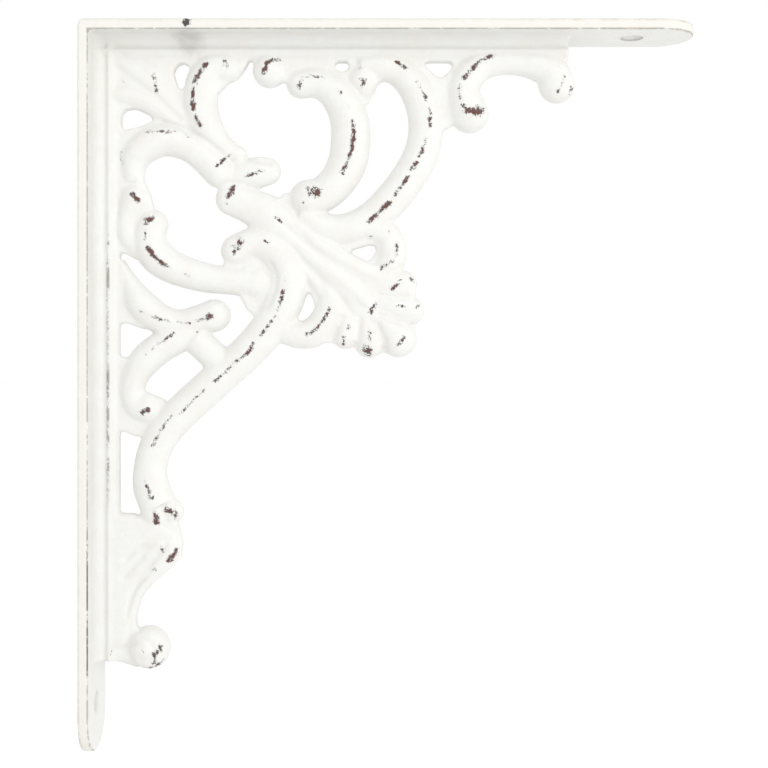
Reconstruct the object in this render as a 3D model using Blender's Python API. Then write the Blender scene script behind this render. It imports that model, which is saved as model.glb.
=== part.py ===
"""Ornate cast iron shelf bracket: one casting, worked out in millimetres.

The bracket hangs on a wall and carries a shelf. An L-shaped strap has a long arm on the
wall and a short arm under the shelf. A rail runs inside both arms at mid-width, and
openwork scrolls with an acanthus leaf fill the corner between them.

X runs from the wall along the shelf arm, Z runs up, and Y runs across the strap's width.
The origin is on the wall face, at mid-width. The ornament is drawn in a flat plane by
two measures: the distance from the wall face, and the depth below the shelf face.
"""
import math

import bmesh
import bpy
from mathutils import Matrix, Vector

MM = 0.001

# The strap
HEIGHT = 225.0
REACH = 189.0
WIDTH = 23.0
STRAP = 3.4
CORNER_RADIUS = 1.6
ORIGIN_DEPTH = 110.0

# The screw holes, one near the tip of each arm
HOLE_DIAMETER = 6.4
WALL_HOLE_DEPTH = 210.0
SHELF_HOLE_REACH = 170.0

# The rail: its web leaves the strap in a cove and swells to an arris and an inner edge
COVE_OUT = 3.2
COVE_WIDE = 4.7
WEB_HALF = 2.3
ARRIS_OUT = 7.3
ARRIS_HALF = 3.1
SHOULDER_OUT = 9.2
SHOULDER_HALF = 2.5
RAIL_OUT = 10.5
RAIL_EDGE_HALF = 1.1
WALL_RAIL_END = 197.0
SHELF_RAIL_END = 150.0

# How finely the forms are drawn, and how thick the sheets are
RIB_SIDES = 10
VEIN_SIDES = 6
RIB_STEP = 4.2
KNOB_SEGMENTS = 12
KNOB_RINGS = 7
TONGUE_STEPS = 20
CORNER_STEPS = 4
HOLE_STEPS = 24
NOSE_STEPS = 3
NOSE_TIP = 0.12
OVERRUN = 10.0
SHEET_HALF = 2.0
SHEET_STEP = 0.07

# Thickness over width: round ribs, low bands, and the tall narrow veins that stand on a sheet
ROUND = 0.82
LOW = 0.55
TALL = 1.55
KNOB_FLATNESS = 0.8

# Each rib is a thickness ratio, which of its ends are rounded, and its stations: distance from
# the wall, depth below the shelf face, half-width
RIBS = {
    "crook": (ROUND, "start", [
        (44.3, 12.4, 4.8), (39.8, 12.6, 4.9), (36.5, 16.5, 5.3), (35.7, 22.0, 5.4),
        (36.0, 27.0, 5.4), (38.0, 32.0, 5.0), (41.5, 36.5, 4.2), (46.0, 39.5, 3.0),
    ]),
    "arch": (ROUND, "end", [
        (14.8, 48.0, 3.4), (14.6, 43.4, 4.0), (16.2, 39.2, 4.8), (20.0, 36.2, 5.2),
        (24.5, 34.9, 5.2), (30.0, 36.0, 5.0), (35.0, 39.0, 4.7), (41.4, 45.0, 5.0),
    ]),
    "petal": (LOW, "end", [
        (43.0, 46.5, 3.0), (48.5, 45.4, 4.2), (54.0, 45.0, 4.9), (56.3, 44.8, 4.4),
    ]),
    "trunk": (LOW, "start", [
        (45.4, 53.4, 5.2), (51.0, 55.6, 5.6), (57.0, 58.8, 6.6), (63.0, 63.5, 7.0),
        (69.0, 68.8, 6.8), (75.0, 74.4, 7.2), (81.0, 80.0, 7.6), (86.0, 85.0, 6.5),
    ]),
    "left_scroll": (ROUND, "start", [
        (20.9, 61.4, 4.7), (19.5, 66.0, 5.2), (21.7, 70.7, 5.6), (26.0, 74.2, 5.2),
        (31.5, 76.4, 4.9), (37.5, 78.0, 4.6), (43.5, 78.7, 4.4), (52.5, 79.5, 4.6),
    ]),
    "left_shoulder": (ROUND, "start", [
        (15.3, 53.1, 4.7), (12.8, 59.0, 3.6), (13.2, 65.0, 3.8), (17.5, 70.0, 3.4),
    ]),
    "stem": (ROUND, "start", [
        (46.8, 69.4, 4.9), (52.0, 67.2, 4.9), (57.5, 68.6, 5.5), (61.7, 72.6, 5.8),
        (63.3, 78.2, 6.0), (62.0, 84.6, 6.0), (58.6, 91.0, 5.8), (54.0, 97.0, 5.6),
        (48.4, 102.8, 5.5), (42.2, 108.4, 5.5), (36.0, 114.0, 5.5), (30.0, 119.5, 5.5),
        (25.0, 125.0, 5.4), (21.6, 130.8, 5.2), (20.0, 137.0, 5.2), (20.2, 143.0, 5.7),
        (22.5, 149.0, 5.8),
    ]),
    "crescent": (ROUND, "end", [
        (11.2, 72.6, 0.8), (13.2, 78.6, 2.6), (16.2, 84.8, 4.6), (19.6, 88.6, 5.1), (23.5, 90.8, 4.6),
        (29.0, 91.9, 4.1), (35.0, 91.0, 4.6), (39.9, 89.7, 5.1),
    ]),
    "brace": (ROUND, "end", [
        (35.0, 94.5, 3.6), (29.0, 96.8, 4.5), (23.0, 99.8, 4.9), (18.4, 103.6, 4.9),
        (15.2, 108.5, 4.3), (14.2, 113.5, 4.0), (15.4, 117.6, 4.2), (18.8, 118.7, 4.9),
    ]),
    "bridge": (ROUND, "none", [(34.0, 97.0, 4.6), (37.5, 100.3, 4.6), (42.0, 104.4, 4.6)]),
    "inner_c": (ROUND, "both", [
        (66.9, 17.6, 4.5), (72.0, 17.2, 4.8), (77.2, 19.8, 5.5), (80.7, 24.8, 5.9),
        (82.2, 30.5, 6.1), (82.3, 36.5, 6.2), (81.2, 42.4, 6.1), (78.2, 47.8, 5.8),
        (73.8, 51.8, 5.6), (69.2, 53.2, 5.9),
    ]),
    "outer_c": (ROUND, "none", [
        (85.5, 12.6, 4.0), (91.5, 12.0, 4.6), (97.0, 13.4, 4.7), (101.3, 17.2, 5.1),
        (104.2, 22.2, 5.4), (105.7, 28.0, 5.5), (105.5, 34.5, 5.4), (103.6, 41.0, 5.4),
        (100.0, 47.2, 5.4), (95.4, 53.2, 5.4), (90.0, 58.4, 5.2), (84.0, 62.0, 5.1),
        (77.5, 63.2, 5.0), (71.5, 61.5, 4.8), (67.0, 58.0, 4.0),
    ]),
    "drop": (ROUND, "both", [(86.3, 16.4, 4.8), (86.8, 19.8, 3.6), (87.3, 22.6, 1.3)]),
    "hook": (ROUND, "both", [
        (119.4, 26.8, 6.1), (117.5, 20.2, 5.1), (119.0, 15.4, 5.0), (123.0, 11.9, 4.7),
        (128.5, 10.7, 4.1), (134.5, 10.8, 4.1), (140.0, 11.7, 4.7), (144.8, 13.8, 5.4),
        (146.6, 17.9, 5.7),
    ]),
    "side_curl": (ROUND, "none", [
        (87.5, 62.0, 4.4), (92.5, 63.8, 4.4), (95.0, 68.0, 4.6), (94.8, 72.5, 4.6), (91.5, 77.0, 3.8),
    ]),
    "lower_curl": (ROUND, "none", [
        (76.0, 78.5, 4.6), (76.6, 85.0, 5.0), (75.0, 90.3, 4.8), (71.0, 94.8, 4.8),
        (66.0, 95.7, 4.3), (61.0, 94.5, 3.8),
    ]),
    "corner_vein": (LOW, "none", [
        (7.0, 8.0, 4.0), (14.0, 13.0, 4.6), (21.5, 18.5, 5.0), (28.5, 25.5, 4.6), (38.0, 35.0, 4.6),
    ]),
    "corner_edge": (ROUND, "none", [
        (7.0, 21.0, 3.4), (14.0, 21.3, 3.8), (20.0, 23.6, 3.6), (25.5, 27.4, 3.3), (33.0, 33.0, 3.0),
    ]),
    "volute_root": (ROUND, "none", [(6.5, 193.6, 3.2), (12.0, 195.0, 3.0), (17.0, 196.6, 3.0)]),
}

# The knobs that stand by themselves: distance from the wall, depth below the shelf, radius
KNOBS = {
    "knot": (47.3, 39.8, 3.0),
    "inner_c_first": (57.2, 13.4, 5.4),
    "left_scroll_end": (53.0, 79.5, 5.0),
    "stem_toe": (21.6, 151.0, 4.8),
    "stem_toe_outer": (26.6, 150.6, 3.9),
    "volute": (19.6, 193.0, 6.7),
    "leaf_heart": (88.6, 86.6, 3.4),
}

# The acanthus: three tall veins run down the trunk, and blunt lobes fan out of its heart
LEAF_RIBS = {
    "upper_vein": (1.30, "none", [
        (59.0, 57.0, 2.0), (66.0, 62.0, 2.8), (72.0, 67.0, 3.2), (79.0, 71.8, 3.2),
        (87.0, 76.0, 3.0), (94.0, 79.0, 2.4),
    ]),
    "middle_vein": (1.28, "end", [
        (61.0, 64.0, 2.0), (68.0, 70.6, 2.8), (75.0, 75.6, 3.3), (82.0, 80.6, 3.5), (87.6, 85.6, 3.2),
    ]),
    "lower_vein": (1.30, "none", [
        (66.0, 72.4, 2.0), (70.5, 78.0, 2.4), (74.8, 83.6, 2.7), (79.0, 89.5, 2.9),
    ]),
    "lobe_a": (ROUND, "end", [(88.0, 79.2, 3.6), (94.0, 79.6, 4.3), (99.0, 79.9, 4.2)]),
    "lobe_b": (ROUND, "end", [(88.5, 84.0, 3.6), (95.0, 86.8, 4.5), (100.7, 88.2, 4.6)]),
    "lobe_c": (ROUND, "end", [(88.0, 86.5, 3.4), (93.0, 92.0, 5.0), (97.2, 97.0, 5.8)]),
    "lobe_d": (ROUND, "end", [(86.0, 87.0, 3.2), (87.6, 93.0, 4.3), (88.3, 98.2, 4.8)]),
    "lobe_e": (ROUND, "end", [(83.0, 85.5, 3.0), (81.8, 91.0, 3.9), (80.8, 95.9, 4.3)]),
}

# The thicker middles of the leaf and of the foot, which carry their veins and lobes
BODIES = {
    "leaf_body": (3.1, [
        (60.0, 58.0), (72.0, 64.0), (84.0, 71.5), (94.0, 76.5), (101.0, 79.0), (102.0, 88.0),
        (98.0, 98.5), (88.0, 99.5), (79.5, 96.0), (76.0, 86.0), (68.0, 76.0), (60.0, 68.0),
    ]),
    "foot_body": (2.6, [
        (7.3, 152.0), (20.0, 153.5), (27.5, 157.5), (28.0, 163.0), (20.0, 171.5), (14.5, 179.0),
        (12.0, 192.0), (7.3, 194.0),
    ]),
}

# The flutes of the foot leaf fan from the rail
FOOT_FLUTES = [
    [(12.5, 187.0, 1.9), (15.6, 176.5, 2.2), (26.6, 162.6, 3.0)],
    [(10.5, 181.0, 1.6), (14.0, 170.5, 1.9), (23.2, 160.8, 2.6)],
    [(9.5, 173.0, 1.4), (13.0, 163.5, 1.8), (19.0, 157.6, 2.2)],
]

# Thin sheets close the corner, the foot and the narrow gaps, each a rim and the eyes it leaves
SHEETS = {
    "corner": [
        [
            (5.0, 5.0), (50.4, 5.0), (50.4, 11.6), (49.0, 13.6), (46.0, 16.0), (43.4, 18.2), (40.0, 22.0),
            (40.0, 32.0), (46.0, 37.0), (42.0, 48.0), (36.0, 43.0), (28.0, 39.0), (18.0, 41.0),
            (14.0, 46.0), (5.0, 46.0),
        ],
        [
            (27.3, 14.2), (28.2, 12.2), (30.0, 11.2), (32.0, 12.0), (32.5, 14.0), (31.5, 17.0),
            (29.9, 20.0), (28.4, 18.0),
        ],
        [
            (11.0, 27.6), (12.2, 25.8), (15.0, 25.4), (18.0, 26.2), (20.0, 27.5), (21.0, 29.0),
            (18.0, 30.6), (14.0, 31.6), (12.0, 32.2), (11.0, 30.6),
        ],
    ],
    "under_arch": [[
        (5.0, 44.0), (15.0, 43.0), (17.5, 46.5), (20.0, 52.0), (22.0, 60.0), (20.0, 68.0),
        (16.0, 72.4), (11.6, 70.2), (5.0, 72.0),
    ]],
    "crescent_root": [[
        (5.0, 73.2), (11.2, 72.8), (14.0, 77.6), (18.0, 84.0), (18.0, 93.6), (12.6, 91.8), (5.0, 91.4),
    ]],
    "shelf_web": [
        [
            (51.8, 5.0), (52.2, 12.0), (56.0, 16.0), (66.0, 18.0), (76.0, 20.0), (80.0, 22.0),
            (86.0, 21.0), (96.0, 14.0), (105.0, 20.0), (106.0, 31.0), (112.0, 31.8), (118.0, 28.0),
            (117.0, 14.0), (124.0, 11.0), (149.6, 12.0), (149.6, 5.0),
        ],
        [
            (77.3, 12.2), (77.9, 10.9), (81.2, 10.9), (82.0, 11.8), (81.6, 13.2), (79.6, 14.0),
            (78.0, 13.4),
        ],
        [
            (105.2, 11.6), (106.0, 10.9), (113.4, 10.9), (114.2, 12.0), (113.4, 13.6), (110.6, 16.0),
            (108.0, 14.6),
        ],
    ],
    "curl_web": [[
        (43.0, 71.0), (56.0, 72.0), (60.0, 78.0), (60.0, 88.0), (52.8, 90.2), (50.2, 88.0),
        (48.3, 84.5), (47.0, 80.0), (43.0, 78.0),
    ]],
    "crescent_root": [[
        (5.0, 72.0), (11.5, 72.4), (15.0, 80.0), (20.0, 88.0), (18.0, 94.0), (13.0, 92.2), (5.0, 92.2),
    ]],
    "brace_root": [[
        (5.0, 102.6), (13.0, 102.6), (15.0, 110.0), (17.5, 113.0), (24.5, 116.0), (20.0, 127.0),
        (15.5, 127.4), (12.0, 125.8), (5.0, 125.8),
    ]],
    "leaf": [
        [
            (57.0, 56.0), (62.0, 51.5), (66.0, 52.0), (76.0, 62.0), (92.0, 62.0), (96.0, 68.0),
            (95.0, 74.0), (99.5, 76.0), (102.5, 80.0), (103.2, 88.0), (102.0, 97.0), (97.0, 101.5),
            (88.0, 101.0), (80.0, 98.5), (70.0, 98.0), (60.0, 96.0), (60.0, 88.0), (62.0, 76.0),
            (56.0, 66.0),
        ],
        [
            (81.0, 70.2), (84.0, 69.0), (88.0, 67.9), (90.0, 67.9), (90.2, 70.0), (88.8, 72.3),
            (86.5, 73.2), (84.0, 72.4),
        ],
        [
            (69.4, 82.2), (70.6, 84.4), (71.3, 87.0), (71.0, 89.6), (69.0, 91.5), (67.0, 91.7),
            (65.9, 91.0), (66.1, 88.0), (67.2, 85.2),
        ],
    ],
    "foot": [[
        (5.0, 151.2), (15.0, 151.4), (20.0, 153.5), (28.8, 154.6), (30.2, 161.0), (29.6, 165.0),
        (25.5, 169.3), (20.0, 173.8), (17.2, 177.8), (15.6, 183.6), (16.0, 188.0), (16.0, 197.0),
        (5.0, 197.0),
    ]],
}

CAST_PAINT = (0.83, 0.81, 0.75, 1.0)
PAINT_ROUGHNESS = 0.5


def clear_scene():
    """Remove whatever the scene holds."""
    for item in list(bpy.data.objects):
        bpy.data.objects.remove(item, do_unlink=True)


def new_collection(name):
    """Make a collection in the scene."""
    made = bpy.data.collections.new(name)
    bpy.context.scene.collection.children.link(made)
    return made


def painted_iron():
    """The off-white paint of the casting."""
    material = bpy.data.materials.new("painted_iron")
    material.use_nodes = True
    shader = material.node_tree.nodes["Principled BSDF"]
    shader.inputs["Base Color"].default_value = CAST_PAINT
    shader.inputs["Roughness"].default_value = PAINT_ROUGHNESS
    shader.inputs["Metallic"].default_value = 0.0
    return material


def drawing_point(reach, depth):
    """A point of the drawing plane, in metres: reach from the wall, depth below the shelf."""
    return Vector((reach * MM, (ORIGIN_DEPTH - depth) * MM, 0.0))


DRAWING_TO_WORLD = Matrix.Rotation(math.radians(90.0), 4, "X")


def smooth_line(stations, step):
    """Points along a smooth curve through the stations, about a step apart."""
    line = []
    last = len(stations) - 1
    for index in range(last):
        before = Vector(stations[max(index - 1, 0)])
        start = Vector(stations[index])
        end = Vector(stations[index + 1])
        after = Vector(stations[min(index + 2, last)])
        count = max(1, round((end.xy - start.xy).length / step))
        for part in range(count):
            t = part / count
            line.append(
                0.5 * (2 * start + (end - before) * t
                       + (2 * before - 5 * start + 4 * end - after) * t ** 2
                       + (3 * start - before - 3 * end + after) * t ** 3)
            )
    line.append(Vector(stations[last]))
    return line


def mesh_from_curve(curve_object, collection):
    """Turn a curve object into a closed mesh object in the same place."""
    graph = bpy.context.evaluated_depsgraph_get()
    mesh = bpy.data.meshes.new_from_object(curve_object.evaluated_get(graph))
    work = bmesh.new()
    work.from_mesh(mesh)
    bmesh.ops.remove_doubles(work, verts=work.verts, dist=0.00001)
    bmesh.ops.recalc_face_normals(work, faces=work.faces)
    work.to_mesh(mesh)
    work.free()
    made = bpy.data.objects.new(curve_object.name + "_form", mesh)
    made.matrix_world = curve_object.matrix_world.copy()
    collection.objects.link(made)
    old = curve_object.data
    bpy.data.objects.remove(curve_object, do_unlink=True)
    bpy.data.curves.remove(old)
    return made


def flat_curve(name, outlines):
    """A 2D curve of closed outlines, each a list of points of the drawing plane."""
    curve = bpy.data.curves.new(name, "CURVE")
    curve.dimensions = "2D"
    for outline in outlines:
        spline = curve.splines.new("POLY")
        spline.points.add(len(outline) - 1)
        spline.use_cyclic_u = True
        for point, place in zip(spline.points, outline):
            point.co = (place[0], place[1], 0.0, 1.0)
    made = bpy.data.objects.new(name, curve)
    bpy.context.scene.collection.objects.link(made)
    return made


def extruded(name, outlines, half_thickness, collection, turn=DRAWING_TO_WORLD):
    """A flat outline, in metres, made a plate of twice the half-thickness."""
    made = flat_curve(name, outlines)
    made.data.fill_mode = "BOTH"
    made.data.extrude = half_thickness
    made.matrix_world = turn
    bpy.context.view_layer.update()
    return mesh_from_curve(made, collection)


def rib_section(flatness, sides):
    """The closed cross-section of a rib of half-width one millimetre, flat-sided with a crest."""
    points = []
    reach = MM / math.cos(math.pi / sides)
    for side in range(sides):
        angle = 2.0 * math.pi * (side + 0.5) / sides
        points.append((math.cos(angle) * reach, math.sin(angle) * flatness * MM))
    return flat_curve("rib_section", [points])


def nose(end, inner):
    """The stations that round off a rib past its end, away from the inner station."""
    onward = (end.xy - inner.xy).normalized()
    rounded = []
    for step in range(1, NOSE_STEPS + 1):
        angle = math.radians(90.0) * step / NOSE_STEPS
        place = end.xy + onward * end.z * math.sin(angle)
        rounded.append(Vector((place.x, place.y, end.z * max(math.cos(angle), NOSE_TIP))))
    return rounded


def rib(name, flatness, rounded_ends, stations, collection, sides=RIB_SIDES):
    """A rib: a cross-section carried along a smooth line, its size following the stations."""
    line = smooth_line(stations, RIB_STEP)
    if rounded_ends in ("start", "both"):
        line = nose(line[0], line[1])[::-1] + line
    if rounded_ends in ("end", "both"):
        line = line + nose(line[-1], line[-2])
    section = rib_section(flatness, sides)
    curve = bpy.data.curves.new(name, "CURVE")
    curve.dimensions = "2D"
    curve.fill_mode = "NONE"
    curve.bevel_mode = "OBJECT"
    curve.bevel_object = section
    curve.use_fill_caps = True
    spline = curve.splines.new("POLY")
    spline.points.add(len(line) - 1)
    for point, station in zip(spline.points, line):
        place = drawing_point(station[0], station[1])
        point.co = (place.x, place.y, 0.0, 1.0)
        point.radius = station[2]
    made = bpy.data.objects.new(name, curve)
    bpy.context.scene.collection.objects.link(made)
    made.matrix_world = DRAWING_TO_WORLD
    bpy.context.view_layer.update()
    form = mesh_from_curve(made, collection)
    section_curve = section.data
    bpy.data.objects.remove(section, do_unlink=True)
    bpy.data.curves.remove(section_curve)
    return form


def knob(name, place, collection):
    """A flattened ball, its poles to the front and back."""
    reach, depth, radius = place
    mesh = bpy.data.meshes.new(name)
    work = bmesh.new()
    bmesh.ops.create_uvsphere(
        work, u_segments=KNOB_SEGMENTS, v_segments=KNOB_RINGS, radius=radius * MM
    )
    centre = drawing_point(reach, depth)
    spot = Matrix.Translation(centre) @ Matrix.Diagonal((1.0, 1.0, KNOB_FLATNESS, 1.0))
    bmesh.ops.transform(work, matrix=DRAWING_TO_WORLD @ spot, verts=work.verts)
    work.to_mesh(mesh)
    work.free()
    made = bpy.data.objects.new(name + "_knob", mesh)
    collection.objects.link(made)
    return made


def arc(centre, radius, start, end, count):
    """Points on an arc, angles in degrees."""
    points = []
    for step in range(count + 1):
        angle = math.radians(start + (end - start) * step / count)
        points.append((centre[0] + radius * math.cos(angle), centre[1] + radius * math.sin(angle)))
    return points


def strap(collection):
    """The L-shaped strap, both its arms ending in a half-round tongue."""
    foot = ORIGIN_DEPTH - HEIGHT
    top = ORIGIN_DEPTH
    outline = [(0.0, foot), (STRAP, foot), (STRAP, top - STRAP), (REACH, top - STRAP), (REACH, top)]
    outline += arc((CORNER_RADIUS, top - CORNER_RADIUS), CORNER_RADIUS, 90.0, 180.0, CORNER_STEPS)
    plate = extruded("strap", [[(x * MM, z * MM) for x, z in outline]], WIDTH / 2 * MM, collection)
    half = WIDTH / 2
    shelf_tongue = [(-OVERRUN, -half), (REACH - half, -half)]
    shelf_tongue += arc((REACH - half, 0.0), half, -90.0, 90.0, TONGUE_STEPS)[1:]
    shelf_tongue += [(-OVERRUN, half)]
    across_shelf = extruded(
        "shelf_tongue", [[(x * MM, y * MM) for x, y in shelf_tongue]], HEIGHT * MM, collection,
        Matrix.Identity(4),
    )
    wall_tongue = [(half, top + OVERRUN), (-half, top + OVERRUN), (-half, foot + half)]
    wall_tongue += arc((0.0, foot + half), half, 180.0, 360.0, TONGUE_STEPS)[1:]
    upright = Matrix.Rotation(math.radians(90.0), 4, "Z") @ DRAWING_TO_WORLD
    across_wall = extruded(
        "wall_tongue", [[(y * MM, z * MM) for y, z in wall_tongue]], 2 * REACH * MM, collection, upright
    )
    for guide in (across_shelf, across_wall):
        combine(plate, guide, "INTERSECT")
    return plate


def combine(target, tool, operation):
    """Add an exact Boolean modifier that works one object on another."""
    modifier = target.modifiers.new(operation.lower() + "_" + tool.name, "BOOLEAN")
    modifier.operation = operation
    modifier.solver = "EXACT"
    modifier.object = tool
    return modifier


def rail_section():
    """Half of the rail's cross-section: distance out from the strap's outer face, half-thickness."""
    points = [(STRAP / 2, WEB_HALF + COVE_WIDE)]
    for out, half in arc((1.0, 1.0), 1.0, 180.0, 270.0, CORNER_STEPS):
        points.append((STRAP + out * COVE_OUT, WEB_HALF + half * COVE_WIDE))
    points += [(ARRIS_OUT, ARRIS_HALF), (SHOULDER_OUT, SHOULDER_HALF), (RAIL_OUT, RAIL_EDGE_HALF)]
    return points


def rails(collection):
    """The rail along the wall arm and the rail under the shelf arm, cut square at their ends."""
    front = rail_section()
    whole = front + [(out, -half) for out, half in reversed(front)]
    start = STRAP / 2
    wall_length = WALL_RAIL_END - start
    wall_outline = [(out * MM, half * MM) for out, half in whole]
    wall_middle = ORIGIN_DEPTH - start - wall_length / 2
    wall = extruded(
        "wall_rail", [wall_outline], wall_length / 2 * MM, collection,
        Matrix.Translation((0.0, 0.0, wall_middle * MM)),
    )
    shelf_length = SHELF_RAIL_END - start
    shelf_outline = [(half * MM, (ORIGIN_DEPTH - out) * MM) for out, half in whole]
    upright = Matrix.Rotation(math.radians(90.0), 4, "Z") @ DRAWING_TO_WORLD
    shelf = extruded(
        "shelf_rail", [shelf_outline], shelf_length / 2 * MM, collection,
        Matrix.Translation(((start + shelf_length / 2) * MM, 0.0, 0.0)) @ upright,
    )
    return [wall, shelf]


def screw_hole(name, place, axis, collection):
    """A round cutter through the strap."""
    mesh = bpy.data.meshes.new(name)
    work = bmesh.new()
    radius = HOLE_DIAMETER / 2 * MM
    length = (STRAP + OVERRUN) * MM
    bmesh.ops.create_cone(
        work, cap_ends=True, segments=HOLE_STEPS, radius1=radius, radius2=radius, depth=length
    )
    turn = Matrix.Rotation(math.radians(90.0), 4, "Y") if axis == "X" else Matrix.Identity(4)
    bmesh.ops.transform(work, matrix=Matrix.Translation(place) @ turn, verts=work.verts)
    work.to_mesh(mesh)
    work.free()
    made = bpy.data.objects.new(name, mesh)
    collection.objects.link(made)
    return made


def hide_guides(collection):
    """Show a collection's objects as wires only."""
    for item in collection.objects:
        item.hide_render = True
        item.display_type = "WIRE"


def drawn(points):
    """A drawn outline in metres in the drawing plane."""
    return [tuple(drawing_point(reach, depth).xy) for reach, depth in points]


def leaf(collection):
    """The acanthus: tall veins down the trunk, and blunt lobes that fan out of its heart."""
    for name, (flatness, rounded_ends, stations) in LEAF_RIBS.items():
        sides = VEIN_SIDES if flatness > 1.0 else RIB_SIDES
        rib(name, flatness, rounded_ends, stations, collection, sides)


def ornament(collection):
    """Every form of the scrollwork, each a closed body overlapping its neighbours."""
    for name, (flatness, rounded_ends, stations) in RIBS.items():
        rib(name, flatness, rounded_ends, stations, collection)
    leaf(collection)
    for index, stations in enumerate(FOOT_FLUTES):
        rib(f"foot_flute_{index}", TALL, "end", stations, collection, VEIN_SIDES)
    for name, place in KNOBS.items():
        knob(name, place, collection)
    for index, (name, loops) in enumerate(SHEETS.items()):
        half = SHEET_HALF + SHEET_STEP * index
        extruded(name + "_sheet", [drawn(loop) for loop in loops], half * MM, collection)
    for name, (half, rim) in BODIES.items():
        extruded(name, [drawn(rim)], half * MM, collection)


def build():
    """Make the casting."""
    clear_scene()
    parts = new_collection("ornate_shelf_bracket")
    guides = new_collection("guides")
    forms = new_collection("forms")
    casting = strap(guides)
    guides.objects.unlink(casting)
    parts.objects.link(casting)
    casting.name = "shelf_bracket"
    casting.data.name = "shelf_bracket"
    casting.data.materials.clear()
    casting.data.materials.append(painted_iron())
    rails(forms)
    ornament(forms)
    union = casting.modifiers.new("ornament", "BOOLEAN")
    union.operation = "UNION"
    union.solver = "EXACT"
    union.operand_type = "COLLECTION"
    union.collection = forms
    wall_hole = (STRAP / 2 * MM, 0.0, (ORIGIN_DEPTH - WALL_HOLE_DEPTH) * MM)
    shelf_hole = (SHELF_HOLE_REACH * MM, 0.0, (ORIGIN_DEPTH - STRAP / 2) * MM)
    combine(casting, screw_hole("wall_screw_hole", wall_hole, "X", guides), "DIFFERENCE")
    combine(casting, screw_hole("shelf_screw_hole", shelf_hole, "Z", guides), "DIFFERENCE")
    hide_guides(forms)
    hide_guides(guides)
    bpy.context.view_layer.update()


build()
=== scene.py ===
"""Ornate cast iron shelf bracket with distressed off-white paint, seen square from the side.

The casting is drawn by distance from the wall face and depth below the shelf face, in
millimetres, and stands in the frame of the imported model.
"""
import math

import bmesh
import bpy
import numpy as np
from mathutils import Matrix, Vector
from mathutils.kdtree import KDTree


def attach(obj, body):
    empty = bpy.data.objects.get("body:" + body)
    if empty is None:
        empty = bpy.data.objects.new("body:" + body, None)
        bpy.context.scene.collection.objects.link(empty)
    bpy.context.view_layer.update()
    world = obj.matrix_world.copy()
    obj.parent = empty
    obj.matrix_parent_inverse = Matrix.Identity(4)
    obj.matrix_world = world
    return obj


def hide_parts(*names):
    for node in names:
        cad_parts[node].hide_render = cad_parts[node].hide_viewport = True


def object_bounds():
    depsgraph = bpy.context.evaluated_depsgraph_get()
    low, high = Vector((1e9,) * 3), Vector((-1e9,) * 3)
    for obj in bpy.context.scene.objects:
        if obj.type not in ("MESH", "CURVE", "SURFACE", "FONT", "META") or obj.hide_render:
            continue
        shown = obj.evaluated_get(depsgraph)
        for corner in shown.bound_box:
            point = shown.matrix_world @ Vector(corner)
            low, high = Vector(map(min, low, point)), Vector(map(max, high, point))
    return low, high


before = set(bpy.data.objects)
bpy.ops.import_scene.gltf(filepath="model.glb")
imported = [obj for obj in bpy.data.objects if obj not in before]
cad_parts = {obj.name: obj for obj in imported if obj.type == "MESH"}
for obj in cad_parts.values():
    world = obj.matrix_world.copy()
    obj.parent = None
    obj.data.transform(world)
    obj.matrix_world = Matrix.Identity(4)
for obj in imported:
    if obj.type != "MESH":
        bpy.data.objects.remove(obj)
CAD_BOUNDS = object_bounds()

MM = 0.001

# The strap, its screw holes, and the bend that joins its arms
HEIGHT = 225.0
REACH = 189.0
WIDTH = 23.0
STRAP = 3.4
ORIGIN_DEPTH = 110.0
HOLE_DIAMETER = 6.4
WALL_HOLE_DEPTH = 210.0
SHELF_HOLE_REACH = 170.0
CORNER_ROUND = 1.6
CORNER_ARM = 8.0

# The cove's round end in the inner corner: layers, how far they sink into the strap, and the
# half-thickness and radius of the first and the last layer
CORNER_FILLS = 14
CORNER_FILL_SINK = 1.0
CORNER_FILL_HALF = (10.6, 2.4)
CORNER_FILL_RADIUS = (0.8, 6.5)

# The rail: its web leaves the strap in a cove and swells to an arris and an inner edge
COVE_OUT = 3.2
COVE_WIDE = 4.7
WEB_HALF = 2.3
ARRIS_OUT = 7.3
ARRIS_HALF = 3.1
SHOULDER_OUT = 9.2
SHOULDER_HALF = 2.5
RAIL_OUT = 10.5
RAIL_EDGE_HALF = 1.1
WALL_RAIL_END = 197.0
SHELF_RAIL_END = 150.0

# How finely the forms are drawn, how near points are welded, and how thick the sheets are
RIB_STEP = 1.3
RIB_SIDES = 36
NOSE_STEPS = 7
NOSE_TIP = 0.12
ARC_STEPS = 12
TONGUE_STEPS = 48
KNOB_RINGS = 20
WELD = 0.01
SHEET_HALF = 1.9

# Thickness over width: round ribs, low bands, the flutes that stand on a sheet, and the knobs
ROUND = 0.82
LOW = 0.55
FLUTED = 1.3
KNOB_FLATNESS = 0.8

# Sand casting: the grid the forms are fused on, how far the arrises soften, how near the
# middle the carving fades, and the final count
FUSE_GRID = 0.5
SOFTEN_PASSES = 5
SOFTEN_FACTOR = 0.5
CARVE_FADE = 0.8
FACE_LIMIT = 190000

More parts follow.
